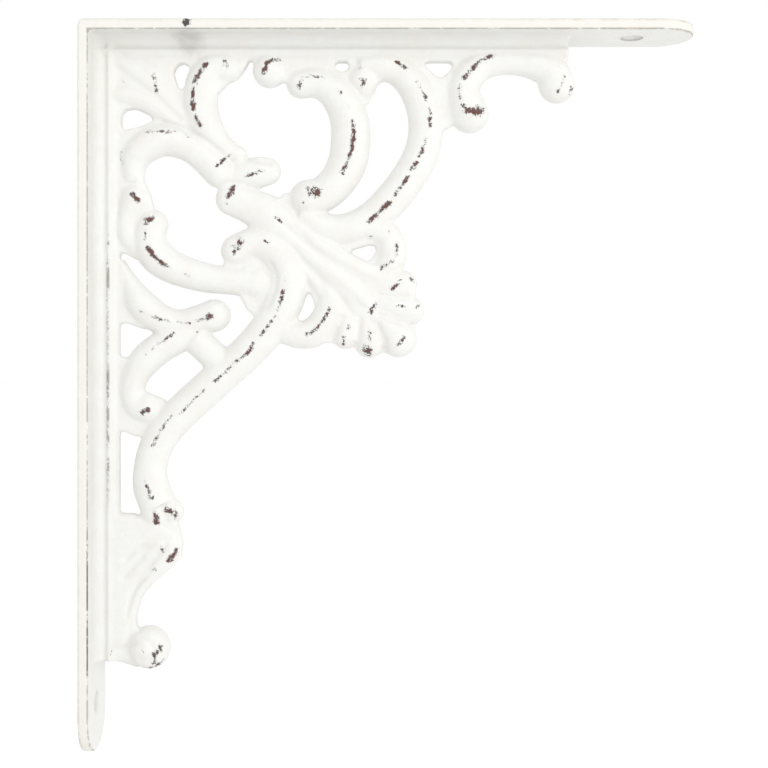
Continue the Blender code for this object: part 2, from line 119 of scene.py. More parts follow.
# Each rib is a thickness ratio, which of its ends are rounded, and its stations: distance from
# the wall, depth below the shelf face, half-width
RIBS = {
    "crook": (ROUND, "start", [
        (44.3, 12.4, 4.8), (39.8, 12.6, 4.9), (36.5, 16.5, 5.3), (35.7, 22.0, 5.4),
        (36.0, 27.0, 5.4), (38.0, 32.0, 5.0), (41.5, 36.5, 4.2), (46.0, 39.5, 3.0),
    ]),
    "arch": (ROUND, "end", [
        (14.8, 48.0, 3.4), (14.6, 43.4, 4.0), (16.2, 39.2, 4.8), (20.0, 36.2, 5.2),
        (24.5, 34.9, 5.2), (30.0, 36.0, 5.0), (35.0, 39.0, 4.7), (41.4, 45.0, 5.0),
    ]),
    "petal": (LOW, "end", [
        (43.0, 46.5, 3.0), (48.5, 45.4, 4.2), (54.0, 45.0, 4.9), (56.3, 44.8, 4.4),
    ]),
    "trunk": (LOW, "start", [
        (45.4, 53.4, 5.2), (51.0, 55.6, 5.6), (57.0, 58.8, 6.6), (63.0, 63.5, 7.0),
        (69.0, 68.8, 6.8), (75.0, 74.4, 7.2), (81.0, 80.0, 7.6), (86.0, 85.0, 6.5),
    ]),
    "left_scroll": (ROUND, "start", [
        (20.9, 61.4, 4.7), (19.5, 66.0, 5.2), (21.7, 70.7, 5.6), (26.0, 74.2, 5.2),
        (31.5, 76.4, 4.9), (37.5, 78.0, 4.6), (43.5, 78.7, 4.4), (52.5, 79.5, 4.6),
    ]),
    "left_shoulder": (ROUND, "start", [
        (15.3, 53.1, 4.7), (12.8, 59.0, 3.6), (13.2, 65.0, 3.8), (17.5, 70.0, 3.4),
    ]),
    "stem": (ROUND, "start", [
        (46.8, 69.4, 4.9), (52.0, 67.2, 4.9), (57.5, 68.6, 5.5), (61.7, 72.6, 5.8),
        (63.3, 78.2, 6.0), (62.0, 84.6, 6.0), (58.6, 91.0, 5.8), (54.0, 97.0, 5.6),
        (48.4, 102.8, 5.5), (42.2, 108.4, 5.5), (36.0, 114.0, 5.5), (30.0, 119.5, 5.5),
        (25.0, 125.0, 5.4), (21.6, 130.8, 5.2), (20.0, 137.0, 5.2), (20.2, 143.0, 5.7),
        (22.5, 149.0, 5.8),
    ]),
    "crescent": (ROUND, "end", [
        (11.2, 72.6, 0.8), (13.2, 78.6, 2.6), (16.2, 84.8, 4.6), (19.6, 88.6, 5.1),
        (23.5, 90.8, 4.6),
        (29.0, 91.9, 4.1), (35.0, 91.0, 4.6), (39.9, 89.7, 5.1),
    ]),
    "brace": (ROUND, "end", [
        (35.0, 94.5, 3.6), (29.0, 96.8, 4.5), (23.0, 99.8, 4.9), (18.4, 103.6, 4.9),
        (15.2, 108.5, 4.3), (14.2, 113.5, 4.0), (15.4, 117.6, 4.2), (18.8, 118.7, 4.9),
    ]),
    "bridge": (ROUND, "none", [(34.0, 97.0, 4.6), (37.5, 100.3, 4.6), (42.0, 104.4, 4.6)]),
    "inner_c": (ROUND, "both", [
        (66.9, 17.6, 4.5), (72.0, 17.2, 4.8), (77.2, 19.8, 5.5), (80.7, 24.8, 5.9),
        (82.2, 30.5, 6.1), (82.3, 36.5, 6.2), (81.2, 42.4, 6.1), (78.2, 47.8, 5.8),
        (73.8, 51.8, 5.6), (69.2, 53.2, 5.9),
    ]),
    "outer_c": (ROUND, "none", [
        (85.5, 12.6, 4.0), (91.5, 12.0, 4.6), (97.0, 13.4, 4.7), (101.3, 17.2, 5.1),
        (104.2, 22.2, 5.4), (105.7, 28.0, 5.5), (105.5, 34.5, 5.4), (103.6, 41.0, 5.4),
        (100.0, 47.2, 5.4), (95.4, 53.2, 5.4), (90.0, 58.4, 5.2), (84.0, 62.0, 5.1),
        (77.5, 63.2, 5.0), (71.5, 61.5, 4.8), (67.0, 58.0, 4.0),
    ]),
    "drop": (ROUND, "both", [(86.3, 16.4, 4.8), (86.8, 19.8, 3.6), (87.3, 22.6, 1.3)]),
    "hook": (ROUND, "both", [
        (119.4, 26.8, 6.1), (117.5, 20.2, 5.1), (119.0, 15.4, 5.0), (123.0, 11.9, 4.7),
        (128.5, 10.7, 4.1), (134.5, 10.8, 4.1), (140.0, 11.7, 4.7), (144.8, 13.8, 5.4),
        (146.6, 17.9, 5.7),
    ]),
    "side_curl": (ROUND, "none", [
        (87.5, 62.0, 4.4), (92.5, 63.8, 4.4), (95.0, 68.0, 4.6), (94.8, 72.5, 4.6),
        (91.5, 77.0, 3.8),
    ]),
    "lower_curl": (ROUND, "none", [
        (76.0, 78.5, 4.6), (76.6, 85.0, 5.0), (75.0, 90.3, 4.8), (71.0, 94.8, 4.8),
        (66.0, 95.7, 4.3), (61.0, 94.5, 3.8),
    ]),
    "corner_vein": (LOW, "none", [
        (7.0, 8.0, 4.0), (14.0, 13.0, 4.6), (21.5, 18.5, 5.0), (28.5, 25.5, 4.6), (38.0, 35.0, 4.6),
    ]),
    "corner_edge": (ROUND, "none", [
        (7.0, 21.0, 3.4), (14.0, 21.3, 3.8), (20.0, 23.6, 3.6), (25.5, 27.4, 3.3),
        (33.0, 33.0, 3.0),
    ]),
    "volute_root": (ROUND, "none", [(6.5, 193.6, 3.2), (12.0, 195.0, 3.0), (17.0, 196.6, 3.0)]),
}

# The knobs that stand by themselves: distance from the wall, depth below the shelf, radius
KNOBS = {
    "knot": (47.3, 39.8, 3.0),
    "inner_c_first": (57.2, 13.4, 5.4),
    "left_scroll_end": (53.0, 79.5, 5.0),
    "stem_toe": (21.6, 151.0, 4.8),
    "stem_toe_outer": (26.6, 150.6, 3.9),
    "volute": (19.6, 193.0, 6.7),
    "leaf_heart": (88.6, 86.6, 3.4),
}

# The acanthus: veins run down the trunk, and blunt lobes fan out of their ends. A rib is a
# thickness ratio, which ends are rounded, and its stations
LEAF_RIBS = {
    "upper_vein": (1.30, "none", [
        (59.0, 57.0, 2.0), (66.0, 62.0, 2.8), (72.0, 67.0, 3.2), (79.0, 71.8, 3.2),
        (87.0, 76.0, 3.0), (94.0, 79.0, 2.4),
    ]),
    "middle_vein": (1.28, "end", [
        (61.0, 64.0, 2.0), (68.0, 70.6, 2.8), (75.0, 75.6, 3.3), (82.0, 80.6, 3.5),
        (87.6, 85.6, 3.2),
    ]),
    "lower_vein": (1.30, "none", [
        (66.0, 72.4, 2.0), (70.5, 78.0, 2.4), (74.8, 83.6, 2.7), (79.0, 89.5, 2.9),
    ]),
    "lobe_a": (ROUND, "end", [(88.0, 79.2, 3.6), (94.0, 79.6, 4.3), (99.0, 79.9, 4.2)]),
    "lobe_b": (ROUND, "end", [(88.5, 84.0, 3.6), (95.0, 86.8, 4.5), (100.7, 88.2, 4.6)]),
    "lobe_c": (ROUND, "end", [(88.0, 86.5, 3.4), (93.0, 92.0, 5.0), (97.2, 97.0, 5.8)]),
    "lobe_d": (ROUND, "end", [(86.0, 87.0, 3.2), (87.6, 93.0, 4.3), (88.3, 98.2, 4.8)]),
    "lobe_e": (ROUND, "end", [(83.0, 85.5, 3.0), (81.8, 91.0, 3.9), (80.8, 95.9, 4.3)]),
}

# The thicker middles of the leaf and of the foot, which carry their veins and lobes
BODIES = {
    "leaf_body": (3.1, [
        (60.0, 58.0), (72.0, 64.0), (84.0, 71.5), (94.0, 76.5), (101.0, 79.0), (102.0, 88.0),
        (98.0, 98.5), (88.0, 99.5), (79.5, 96.0), (76.0, 86.0), (68.0, 76.0), (60.0, 68.0),
    ]),
    "foot_body": (2.6, [
        (7.3, 152.0), (20.0, 153.5), (27.5, 157.5), (28.0, 163.0), (20.0, 171.5), (14.5, 179.0),
        (12.0, 192.0), (7.3, 194.0),
    ]),
}

# The flutes of the foot leaf fan from the rail
FOOT_FLUTES = [
    [(12.5, 187.0, 1.9), (15.6, 176.5, 2.2), (26.6, 162.6, 3.0)],
    [(10.5, 181.0, 1.6), (14.0, 170.5, 1.9), (23.2, 160.8, 2.6)],
    [(9.5, 173.0, 1.4), (13.0, 163.5, 1.8), (19.0, 157.6, 2.2)],
]

# Thin sheets close the corner, the foot and the narrow gaps, each a rim and the eyes it leaves
SHEETS = {
    "corner": [
        [
            (5.0, 5.0), (50.4, 5.0), (50.4, 11.6), (49.0, 13.6), (46.0, 16.0),
            (43.4, 18.2), (40.0, 22.0),
            (40.0, 32.0), (46.0, 37.0), (42.0, 48.0), (36.0, 43.0), (28.0, 39.0), (18.0, 41.0),
            (14.0, 46.0), (5.0, 46.0),
        ],
        [
            (27.3, 14.2), (28.2, 12.2), (30.0, 11.2), (32.0, 12.0), (32.5, 14.0), (31.5, 17.0),
            (29.9, 20.0), (28.4, 18.0),
        ],
        [
            (11.0, 27.6), (12.2, 25.8), (15.0, 25.4), (18.0, 26.2), (20.0, 27.5), (21.0, 29.0),
            (18.0, 30.6), (14.0, 31.6), (12.0, 32.2), (11.0, 30.6),
        ],
    ],
    "under_arch": [[
        (5.0, 44.0), (15.0, 43.0), (17.5, 46.5), (20.0, 52.0), (22.0, 60.0), (20.0, 68.0),
        (16.0, 72.4), (11.6, 70.2), (5.0, 72.0),
    ]],
    "crescent_root": [[
        (5.0, 72.0), (11.5, 72.4), (15.0, 80.0), (20.0, 88.0), (18.0, 94.0), (13.0, 92.2),
        (5.0, 92.2),
    ]],
    "shelf_web": [
        [
            (51.8, 5.0), (52.2, 12.0), (56.0, 16.0), (66.0, 18.0), (76.0, 20.0), (80.0, 22.0),
            (86.0, 21.0), (96.0, 14.0), (105.0, 20.0), (106.0, 31.0), (112.0, 31.8), (118.0, 28.0),
            (117.0, 14.0), (124.0, 11.0), (149.6, 12.0), (149.6, 5.0),
        ],
        [
            (77.3, 12.2), (77.9, 10.9), (81.2, 10.9), (82.0, 11.8), (81.6, 13.2), (79.6, 14.0),
            (78.0, 13.4),
        ],
        [
            (105.2, 11.6), (106.0, 10.9), (113.4, 10.9), (114.2, 12.0), (113.4, 13.6),
            (110.6, 16.0),
            (108.0, 14.6),
        ],
    ],
    "curl_web": [[
        (43.0, 71.0), (56.0, 72.0), (60.0, 78.0), (60.0, 88.0), (52.8, 90.2), (50.2, 88.0),
        (48.3, 84.5), (47.0, 80.0), (43.0, 78.0),
    ]],
    "brace_root": [[
        (5.0, 102.6), (13.0, 102.6), (15.0, 110.0), (17.5, 113.0), (24.5, 116.0), (20.0, 127.0),
        (15.5, 127.4), (12.0, 125.8), (5.0, 125.8),
    ]],
    "leaf": [
        [
            (57.0, 56.0), (62.0, 51.5), (66.0, 52.0), (76.0, 62.0), (92.0, 62.0), (96.0, 68.0),
            (95.0, 74.0), (99.5, 76.0), (102.5, 80.0), (103.2, 88.0), (102.0, 97.0), (97.0, 101.5),
            (88.0, 101.0), (80.0, 98.5), (70.0, 98.0), (60.0, 96.0), (60.0, 88.0), (62.0, 76.0),
            (56.0, 66.0),
        ],
        [
            (81.0, 70.2), (84.0, 69.0), (88.0, 67.9), (90.0, 67.9), (90.2, 70.0), (88.8, 72.3),
            (86.5, 73.2), (84.0, 72.4),
        ],
        [
            (69.4, 82.2), (70.6, 84.4), (71.3, 87.0), (71.0, 89.6), (69.0, 91.5), (67.0, 91.7),
            (65.9, 91.0), (66.1, 88.0), (67.2, 85.2),
        ],
    ],
    "foot": [[
        (5.0, 151.2), (15.0, 151.4), (20.0, 153.5), (28.8, 154.6), (30.2, 161.0), (29.6, 165.0),
        (25.5, 169.3), (20.0, 173.8), (17.2, 177.8), (15.6, 183.6), (16.0, 188.0), (16.0, 197.0),
        (5.0, 197.0),
    ]],
}

# Shallow cutting between the forms, and thin ridges on them: rise in millimetres, half-width, and
# the line it follows, by distance from the wall and depth
CARVING = [
    (-0.7, 0.8, [(20.0, 28.5), (27.0, 30.6), (33.0, 32.6), (38.0, 35.6), (42.0, 39.0)]),
    (-0.7, 0.7, [(91.0, 83.4), (96.0, 83.9), (103.5, 84.2)]),
    (-0.8, 0.7, [(91.0, 89.4), (97.0, 91.8), (104.0, 93.2)]),
    (-0.8, 0.7, [(91.0, 92.5), (93.0, 97.0), (93.4, 102.5)]),
    (-0.7, 0.7, [(85.2, 90.5), (84.9, 96.0), (84.2, 101.5)]),
    (-0.6, 0.7, [(80.0, 90.0), (78.4, 94.5), (77.0, 99.0)]),
    (-0.5, 0.9, [(60.0, 60.0), (66.0, 65.4), (72.0, 70.4), (79.0, 75.2), (86.0, 79.6)]),
    (-0.5, 0.9, [(65.0, 69.6), (70.0, 75.0), (75.0, 79.8), (80.0, 85.0), (83.0, 89.5)]),
    (0.6, 0.8, [
        (50.0, 75.2), (53.0, 74.6), (56.0, 76.2), (57.6, 79.2), (56.4, 82.4), (54.0, 84.4),
    ]),
    (-0.9, 0.6, [(57.8, 73.4), (59.6, 77.6), (59.2, 82.2), (57.2, 86.4)]),
    (-0.8, 0.7, [(19.0, 161.0), (15.8, 162.4), (12.6, 165.2)]),
    (-0.8, 0.7, [(18.0, 165.0), (15.0, 167.4), (12.0, 171.0)]),
    (-0.8, 0.7, [(20.5, 169.5), (17.0, 172.5), (14.4, 177.0), (13.0, 183.0)]),
    (-0.7, 1.0, [
        (14.5, 190.8), (17.5, 189.6), (20.6, 190.6), (22.0, 193.4), (20.6, 196.0), (17.6, 196.2),
    ]),
    (-0.35, 0.9, [(9.0, 12.0), (15.0, 16.4), (22.0, 21.8), (29.0, 28.8)]),
    (-0.35, 0.9, [(10.5, 8.2), (17.0, 12.6), (23.5, 17.6), (29.5, 23.8), (34.0, 30.0)]),
    (-0.9, 0.8, [(49.0, 40.4), (53.0, 41.4), (57.4, 42.4)]),
]

# Where the paint is rubbed through: half-width, and the line of each rub
RUBS = [
    (0.65, [(43.6, 11.2), (44.2, 12.8)]),
    (0.75, [(38.0, 12.2), (36.5, 14.0), (34.6, 17.0), (34.0, 20.0), (33.8, 23.0), (34.0, 26.0)]),
    (0.65, [(34.6, 28.2), (35.0, 29.2), (36.2, 31.2)]),
    (0.4, [(19.5, 10.2), (19.8, 10.4)]),
    (0.4, [(11.0, 16.2), (12.5, 17.8)]),
    (0.65, [(21.0, 15.0), (21.8, 17.4), (22.3, 20.0)]),
    (0.6, [(19.5, 33.0), (22.4, 32.8), (25.0, 33.0), (28.0, 33.2)]),
    (0.5, [(31.0, 34.3), (32.5, 34.7)]),
    (0.4, [(26.0, 35.0), (26.4, 35.1)]),
    (0.5, [(11.0, 39.2), (11.0, 41.4)]),
    (0.5, [(12.0, 42.5), (12.2, 42.8)]),
    (0.7, [(41.6, 43.6), (42.4, 42.4), (43.4, 41.2)]),
    (0.5, [(44.3, 40.4), (45.5, 39.7)]),
    (0.6, [(50.0, 46.5), (52.5, 45.7), (55.3, 44.7)]),
    (0.8, [(46.0, 49.6), (45.6, 51.6), (44.6, 53.2)]),
    (0.5, [(43.7, 54.7), (44.0, 54.9)]),
    (0.85, [(14.8, 52.4), (15.6, 53.2), (16.6, 54.0)]),
    (1.0, [(19.4, 60.4), (20.6, 60.0)]),
    (0.5, [(19.0, 62.6), (19.2, 66.0)]),
    (0.75, [(20.2, 69.2), (22.0, 71.8), (25.0, 74.2)]),
    (0.5, [(26.5, 75.0), (27.0, 75.3)]),
    (0.5, [(31.0, 76.7), (33.0, 78.0)]),
    (1.3, [(48.2, 66.8), (47.2, 68.2)]),
    (0.6, [(46.8, 69.2), (46.4, 71.0)]),
    (0.5, [(55.5, 66.7), (57.0, 67.4)]),
    (0.5, [(62.0, 76.5), (62.7, 78.7)]),
    (0.6, [(61.7, 82.0), (61.5, 84.0), (60.5, 87.0), (58.5, 91.0), (54.8, 95.8)]),
    (0.6, [
        (52.5, 98.3), (51.5, 100.7), (49.5, 102.3), (46.0, 105.0), (42.5, 108.8), (40.5, 110.0),
    ]),
    (0.5, [(37.0, 113.0), (34.5, 115.3), (30.0, 120.0)]),
    (0.5, [(27.0, 121.0), (25.3, 123.3), (22.5, 127.8), (21.5, 130.0)]),
    (0.6, [(19.0, 140.3), (19.3, 142.0), (20.3, 143.5), (20.5, 145.5), (21.5, 145.9)]),
    (0.8, [(21.8, 150.8), (22.4, 152.4), (22.4, 153.8)]),
    (0.9, [(25.6, 150.0), (27.6, 150.6), (28.2, 151.8)]),
    (0.5, [(17.7, 88.4), (19.3, 89.0), (23.5, 91.0), (26.5, 91.7)]),
    (0.5, [(29.0, 91.7), (32.8, 92.3)]),
    (0.6, [(35.0, 91.7), (37.4, 90.6)]),
    (1.0, [(38.2, 90.4), (39.2, 89.7)]),
    (0.4, [(35.0, 95.0), (35.2, 95.1)]),
    (0.5, [(28.0, 95.2), (23.5, 98.3), (21.3, 100.3)]),
    (0.5, [(19.0, 101.5), (19.3, 101.6)]),
    (0.75, [(18.2, 119.9), (19.8, 119.1)]),
    (0.75, [(60.0, 10.6), (58.6, 10.8), (56.8, 11.8), (55.8, 14.6)]),
    (0.65, [(68.2, 16.2), (67.0, 17.4), (66.4, 19.2)]),
    (0.6, [(70.3, 15.5), (71.5, 16.0), (74.0, 16.2)]),
    (0.6, [(78.7, 20.3), (79.5, 21.2)]),
    (0.5, [(81.7, 25.0), (82.0, 25.6)]),
    (0.7, [(83.0, 30.0), (83.7, 34.0), (83.0, 38.0), (81.5, 42.5), (80.0, 45.8)]),
    (1.5, [(69.8, 51.8), (72.0, 51.6)]),
    (0.5, [(68.0, 54.7), (68.7, 56.5)]),
    (0.5, [(85.2, 13.2), (86.0, 13.0)]),
    (0.5, [(85.0, 16.5), (87.0, 17.0), (86.0, 19.0)]),
    (0.65, [(97.0, 11.5), (99.5, 13.3)]),
    (0.5, [(103.2, 17.7), (104.9, 20.8), (106.0, 23.3)]),
    (0.6, [(106.7, 26.0), (107.3, 28.0), (106.7, 29.6), (107.0, 31.2)]),
    (0.6, [(106.0, 35.0), (103.7, 41.0)]),
    (0.7, [(103.0, 42.5), (101.7, 44.3)]),
    (0.6, [(100.5, 46.7), (98.4, 49.6), (96.0, 53.0)]),
    (0.8, [(94.5, 54.7), (91.4, 57.8), (88.3, 60.7)]),
    (0.7, [(126.5, 9.3), (124.0, 10.4), (121.5, 12.0), (117.5, 16.5)]),
    (0.6, [(116.3, 19.0), (116.2, 22.3)]),
    (1.3, [(118.4, 26.8), (120.4, 27.2), (122.4, 26.6)]),
    (0.5, [(116.5, 24.5), (117.7, 25.5)]),
    (0.45, [(146.3, 12.8), (147.0, 13.6)]),
    (0.45, [(148.6, 15.6), (147.9, 17.7), (146.3, 20.8)]),
    (0.8, [(151.2, 19.7), (150.4, 22.7)]),
    (0.5, [(94.0, 63.7), (94.3, 63.9)]),
    (0.5, [(88.3, 65.3), (88.8, 65.3)]),
    (0.6, [(96.8, 67.4), (96.8, 69.0), (96.5, 71.5)]),
    (0.6, [(95.5, 72.8), (92.0, 75.2)]),
    (0.7, [(95.5, 81.3), (98.0, 79.4)]),
    (0.5, [(101.0, 78.2), (102.3, 79.8)]),
    (0.45, [(97.0, 86.7), (99.3, 87.2)]),
    (0.5, [(102.3, 88.2), (103.6, 86.4)]),
    (0.7, [(89.8, 86.4), (88.6, 89.0)]),
    (0.6, [(97.0, 99.0), (98.4, 97.4), (99.0, 96.4)]),
    (0.5, [(101.2, 101.0), (101.4, 101.1)]),
    (0.6, [(88.3, 94.8), (88.7, 97.5)]),
    (1.3, [(87.4, 100.0), (87.8, 101.6)]),
    (0.5, [(82.0, 93.0), (81.3, 94.5)]),
    (0.6, [(80.3, 96.3), (80.3, 98.5)]),
    (0.5, [(59.0, 59.2), (61.3, 61.0)]),
    (0.6, [(76.1, 87.5), (75.3, 89.3), (72.5, 93.5), (69.0, 95.7)]),
    (0.55, [(23.8, 161.0), (24.4, 163.0)]),
    (0.8, [(28.6, 162.6), (27.6, 164.2), (26.4, 165.4)]),
    (0.6, [(21.5, 168.3), (21.9, 168.4)]),
    (0.5, [(18.7, 192.8), (18.9, 193.2)]),
    (0.7, [(23.8, 191.8), (23.6, 193.0), (22.0, 194.4), (21.8, 197.0)]),
    (0.7, [(15.4, 199.2), (18.6, 199.4), (22.0, 198.6), (24.6, 196.6)]),
    (0.45, [(8.3, 191.0), (8.3, 194.5)]),
]


# Wear: how strong and wide a rub is for its half-width, how it fades off the sides, on the far
# side and over long faces (mm), and how proud or hollow is all the way (mm)
RUB_STRENGTH = 1.25
RUB_LEAST = 0.45
RUB_REACH = 1.2
FACING_GAIN = 1.6
FACING_LOSS = 0.2
FAR_SIDE_WEAR = 0.8
LONG_EDGE = 2.0
SURROUNDINGS_PASSES = 14
FULLY_PROUD = 0.35


def new_collection(name):
    """Make a collection in the scene."""
    made = bpy.data.collections.new(name)
    bpy.context.scene.collection.children.link(made)
    return made


PARTS = new_collection("bracket")
PATTERNS = new_collection("patterns")


def add_mesh(name, mesh, collection=PATTERNS):
    """Put a mesh in the scene as an object."""
    made = bpy.data.objects.new(name, mesh)
    collection.objects.link(made)
    return made


def plain_copy(item, name):
    """The evaluated shape of an object as a plain mesh object."""
    bpy.context.view_layer.update()
    graph = bpy.context.evaluated_depsgraph_get()
    mesh = bpy.data.meshes.new_from_object(item.evaluated_get(graph))
    mesh.name = name
    return add_mesh(name, mesh)


def drop(item):
    """Remove an object and its data."""
    data = item.data
    bpy.data.objects.remove(item, do_unlink=True)
    if isinstance(data, bpy.types.Mesh):
        bpy.data.meshes.remove(data)
    else:
        bpy.data.curves.remove(data)


def drawing_point(reach, depth, out=0.0):
    """A point in metres: reach from the wall, depth below the shelf, and out of the mid-plane."""
    return Vector((reach * MM, out * MM, (ORIGIN_DEPTH - depth) * MM))


def arc(centre, radius, start, end, count):
    """Points on an arc, angles in degrees."""
    points = []
    for step in range(count + 1):
        angle = math.radians(start + (end - start) * step / count)
        points.append((centre[0] + radius * math.cos(angle), centre[1] + radius * math.sin(angle)))
    return points


def smooth_line(stations, step):
    """Points along a smooth curve through the stations, about a step apart."""
    line = []
    last = len(stations) - 1
    for index in range(last):
        before = Vector(stations[max(index - 1, 0)])
        start = Vector(stations[index])
        end = Vector(stations[index + 1])
        after = Vector(stations[min(index + 2, last)])
        count = max(1, round((end.xy - start.xy).length / step))
        for part in range(count):
            t = part / count
            line.append(
                0.5 * (2 * start + (end - before) * t
                       + (2 * before - 5 * start + 4 * end - after) * t ** 2
                       + (3 * start - before - 3 * end + after) * t ** 3)
            )
    line.append(Vector(stations[last]))
    return line


def nose(end, inner):
    """The stations that round off a rib past its end, away from the inner station."""
    onward = (end.xy - inner.xy).normalized()
    rounded = []
    for step in range(1, NOSE_STEPS + 1):
        angle = math.radians(90.0) * step / NOSE_STEPS
        place = end.xy + onward * end.z * math.sin(angle)
        rounded.append(Vector((place.x, place.y, end.z * max(math.cos(angle), NOSE_TIP))))
    return rounded


def rib_line(rounded_ends, stations):
    """The fine stations of one rib, with its rounded ends."""
    line = smooth_line(stations, RIB_STEP)
    if rounded_ends in ("start", "both"):
        line = nose(line[0], line[1])[::-1] + line
    if rounded_ends in ("end", "both"):
        line = line + nose(line[-1], line[-2])
    return line


def drawn_paths(name, ribs):
    """A mesh of loose lines, one for each rib, that carries its half-width and flatness."""
    mesh = bpy.data.meshes.new(name)
    places, edges, halves, flats = [], [], [], []
    for flatness, rounded_ends, stations in ribs:
        first = len(places)
        for station in rib_line(rounded_ends, stations):
            places.append(drawing_point(station.x, station.y))
            halves.append(station.z * MM)
            flats.append(flatness)
        edges += [(index, index + 1) for index in range(first, len(places) - 1)]
    mesh.from_pydata(places, edges, [])
    mesh.attributes.new("half_width", "FLOAT", "POINT").data.foreach_set("value", halves)
    mesh.attributes.new("flatness", "FLOAT", "POINT").data.foreach_set("value", flats)
    return add_mesh(name, mesh)


def drawn_points(name, places):
    """A mesh of loose points that carries the radius of each knob."""
    mesh = bpy.data.meshes.new(name)
    mesh.from_pydata([drawing_point(reach, depth) for reach, depth, radius in places], [], [])
    radii = [radius * MM for reach, depth, radius in places]
    mesh.attributes.new("half_width", "FLOAT", "POINT").data.foreach_set("value", radii)
    return add_mesh(name, mesh)


def named_value(tree, name):
    """A node that reads a number stored on the points."""
    node = tree.nodes.new("GeometryNodeInputNamedAttribute")
    node.data_type = "FLOAT"
    node.inputs["Name"].default_value = name
    return node.outputs["Attribute"]


def new_tree(name, inputs):
    """A Geometry Nodes tree with one geometry in, one out, and named inputs."""
    tree = bpy.data.node_groups.new(name, "GeometryNodeTree")
    tree.interface.new_socket("Geometry", in_out="INPUT", socket_type="NodeSocketGeometry")
    tree.interface.new_socket("Geometry", in_out="OUTPUT", socket_type="NodeSocketGeometry")
    for label, kind in inputs:
        tree.interface.new_socket(label, in_out="INPUT", socket_type=kind)
    return tree, tree.nodes.new("NodeGroupInput"), tree.nodes.new("NodeGroupOutput")


def finish_tree(tree, start, end, last):
    """End a tree in real geometry with the casting's material."""
    real = tree.nodes.new("GeometryNodeRealizeInstances")
    coat = tree.nodes.new("GeometryNodeSetMaterial")
    tree.links.new(last, real.inputs["Geometry"])
    tree.links.new(real.outputs["Geometry"], coat.inputs["Geometry"])
    tree.links.new(start.outputs["Material"], coat.inputs["Material"])
    tree.links.new(coat.outputs["Geometry"], end.inputs["Geometry"])


def swept_ribs_tree():
    """Carry a round section along every line, as wide as its stations say, and flatten it."""
    tree, start, end = new_tree(
        "swept_ribs", [("Sides", "NodeSocketInt"), ("Material", "NodeSocketMaterial")]
    )
    path = tree.nodes.new("GeometryNodeMeshToCurve")
    section = tree.nodes.new("GeometryNodeCurvePrimitiveCircle")
    section.inputs["Radius"].default_value = 1.0
    sweep = tree.nodes.new("GeometryNodeCurveToMesh")
    sweep.inputs["Fill Caps"].default_value = True
    place = tree.nodes.new("GeometryNodeInputPosition")
    parts = tree.nodes.new("ShaderNodeSeparateXYZ")
    flatten = tree.nodes.new("ShaderNodeMath")
    flatten.operation = "MULTIPLY"
    whole = tree.nodes.new("ShaderNodeCombineXYZ")
    move = tree.nodes.new("GeometryNodeSetPosition")
    link = tree.links.new
    link(start.outputs["Geometry"], path.inputs["Mesh"])
    link(path.outputs["Curve"], sweep.inputs["Curve"])
    link(start.outputs["Sides"], section.inputs["Resolution"])
    link(section.outputs["Curve"], sweep.inputs["Profile Curve"])
    link(named_value(tree, "half_width"), sweep.inputs["Scale"])
    link(sweep.outputs["Mesh"], move.inputs["Geometry"])
    link(place.outputs["Position"], parts.inputs["Vector"])
    link(parts.outputs["X"], whole.inputs["X"])
    link(parts.outputs["Y"], flatten.inputs[0])
    link(named_value(tree, "flatness"), flatten.inputs[1])
    link(flatten.outputs["Value"], whole.inputs["Y"])
    link(parts.outputs["Z"], whole.inputs["Z"])
    link(whole.outputs["Vector"], move.inputs["Position"])
    finish_tree(tree, start, end, move.outputs["Geometry"])
    return tree


def knobs_tree():
    """Set a flattened ball on every point, as large as the point says."""
    tree, start, end = new_tree("knobs", [
        ("Segments", "NodeSocketInt"), ("Flatness", "NodeSocketFloat"),
        ("Material", "NodeSocketMaterial"),
    ])
    points = tree.nodes.new("GeometryNodeMeshToPoints")
    ball = tree.nodes.new("GeometryNodeMeshUVSphere")
    ball.inputs["Rings"].default_value = KNOB_RINGS
    ball.inputs["Radius"].default_value = 1.0
    size = tree.nodes.new("ShaderNodeCombineXYZ")
    across = tree.nodes.new("ShaderNodeMath")
    across.operation = "MULTIPLY"
    spread = tree.nodes.new("GeometryNodeInstanceOnPoints")
    radius = named_value(tree, "half_width")
    link = tree.links.new
    link(start.outputs["Geometry"], points.inputs["Mesh"])
    link(points.outputs["Points"], spread.inputs["Points"])
    link(start.outputs["Segments"], ball.inputs["Segments"])
    link(ball.outputs["Mesh"], spread.inputs["Instance"])
    link(radius, size.inputs["X"])
    link(radius, across.inputs[0])
    link(start.outputs["Flatness"], across.inputs[1])
    link(across.outputs["Value"], size.inputs["Y"])
    link(radius, size.inputs["Z"])
    link(size.outputs["Vector"], spread.inputs["Scale"])
    finish_tree(tree, start, end, spread.outputs["Instances"])
    return tree


def grown(item, tree, values):
    """Run a tree on an object with its inputs set, and keep the result as a plain mesh."""
    modifier = item.modifiers.new(tree.name, "NODES")
    modifier.node_group = tree
    for socket in tree.interface.items_tree:
        if socket.in_out == "INPUT" and socket.name in values:
            modifier[socket.identifier] = values[socket.name]
    made = plain_copy(item, item.name + "_grown")
    drop(item)
    return made


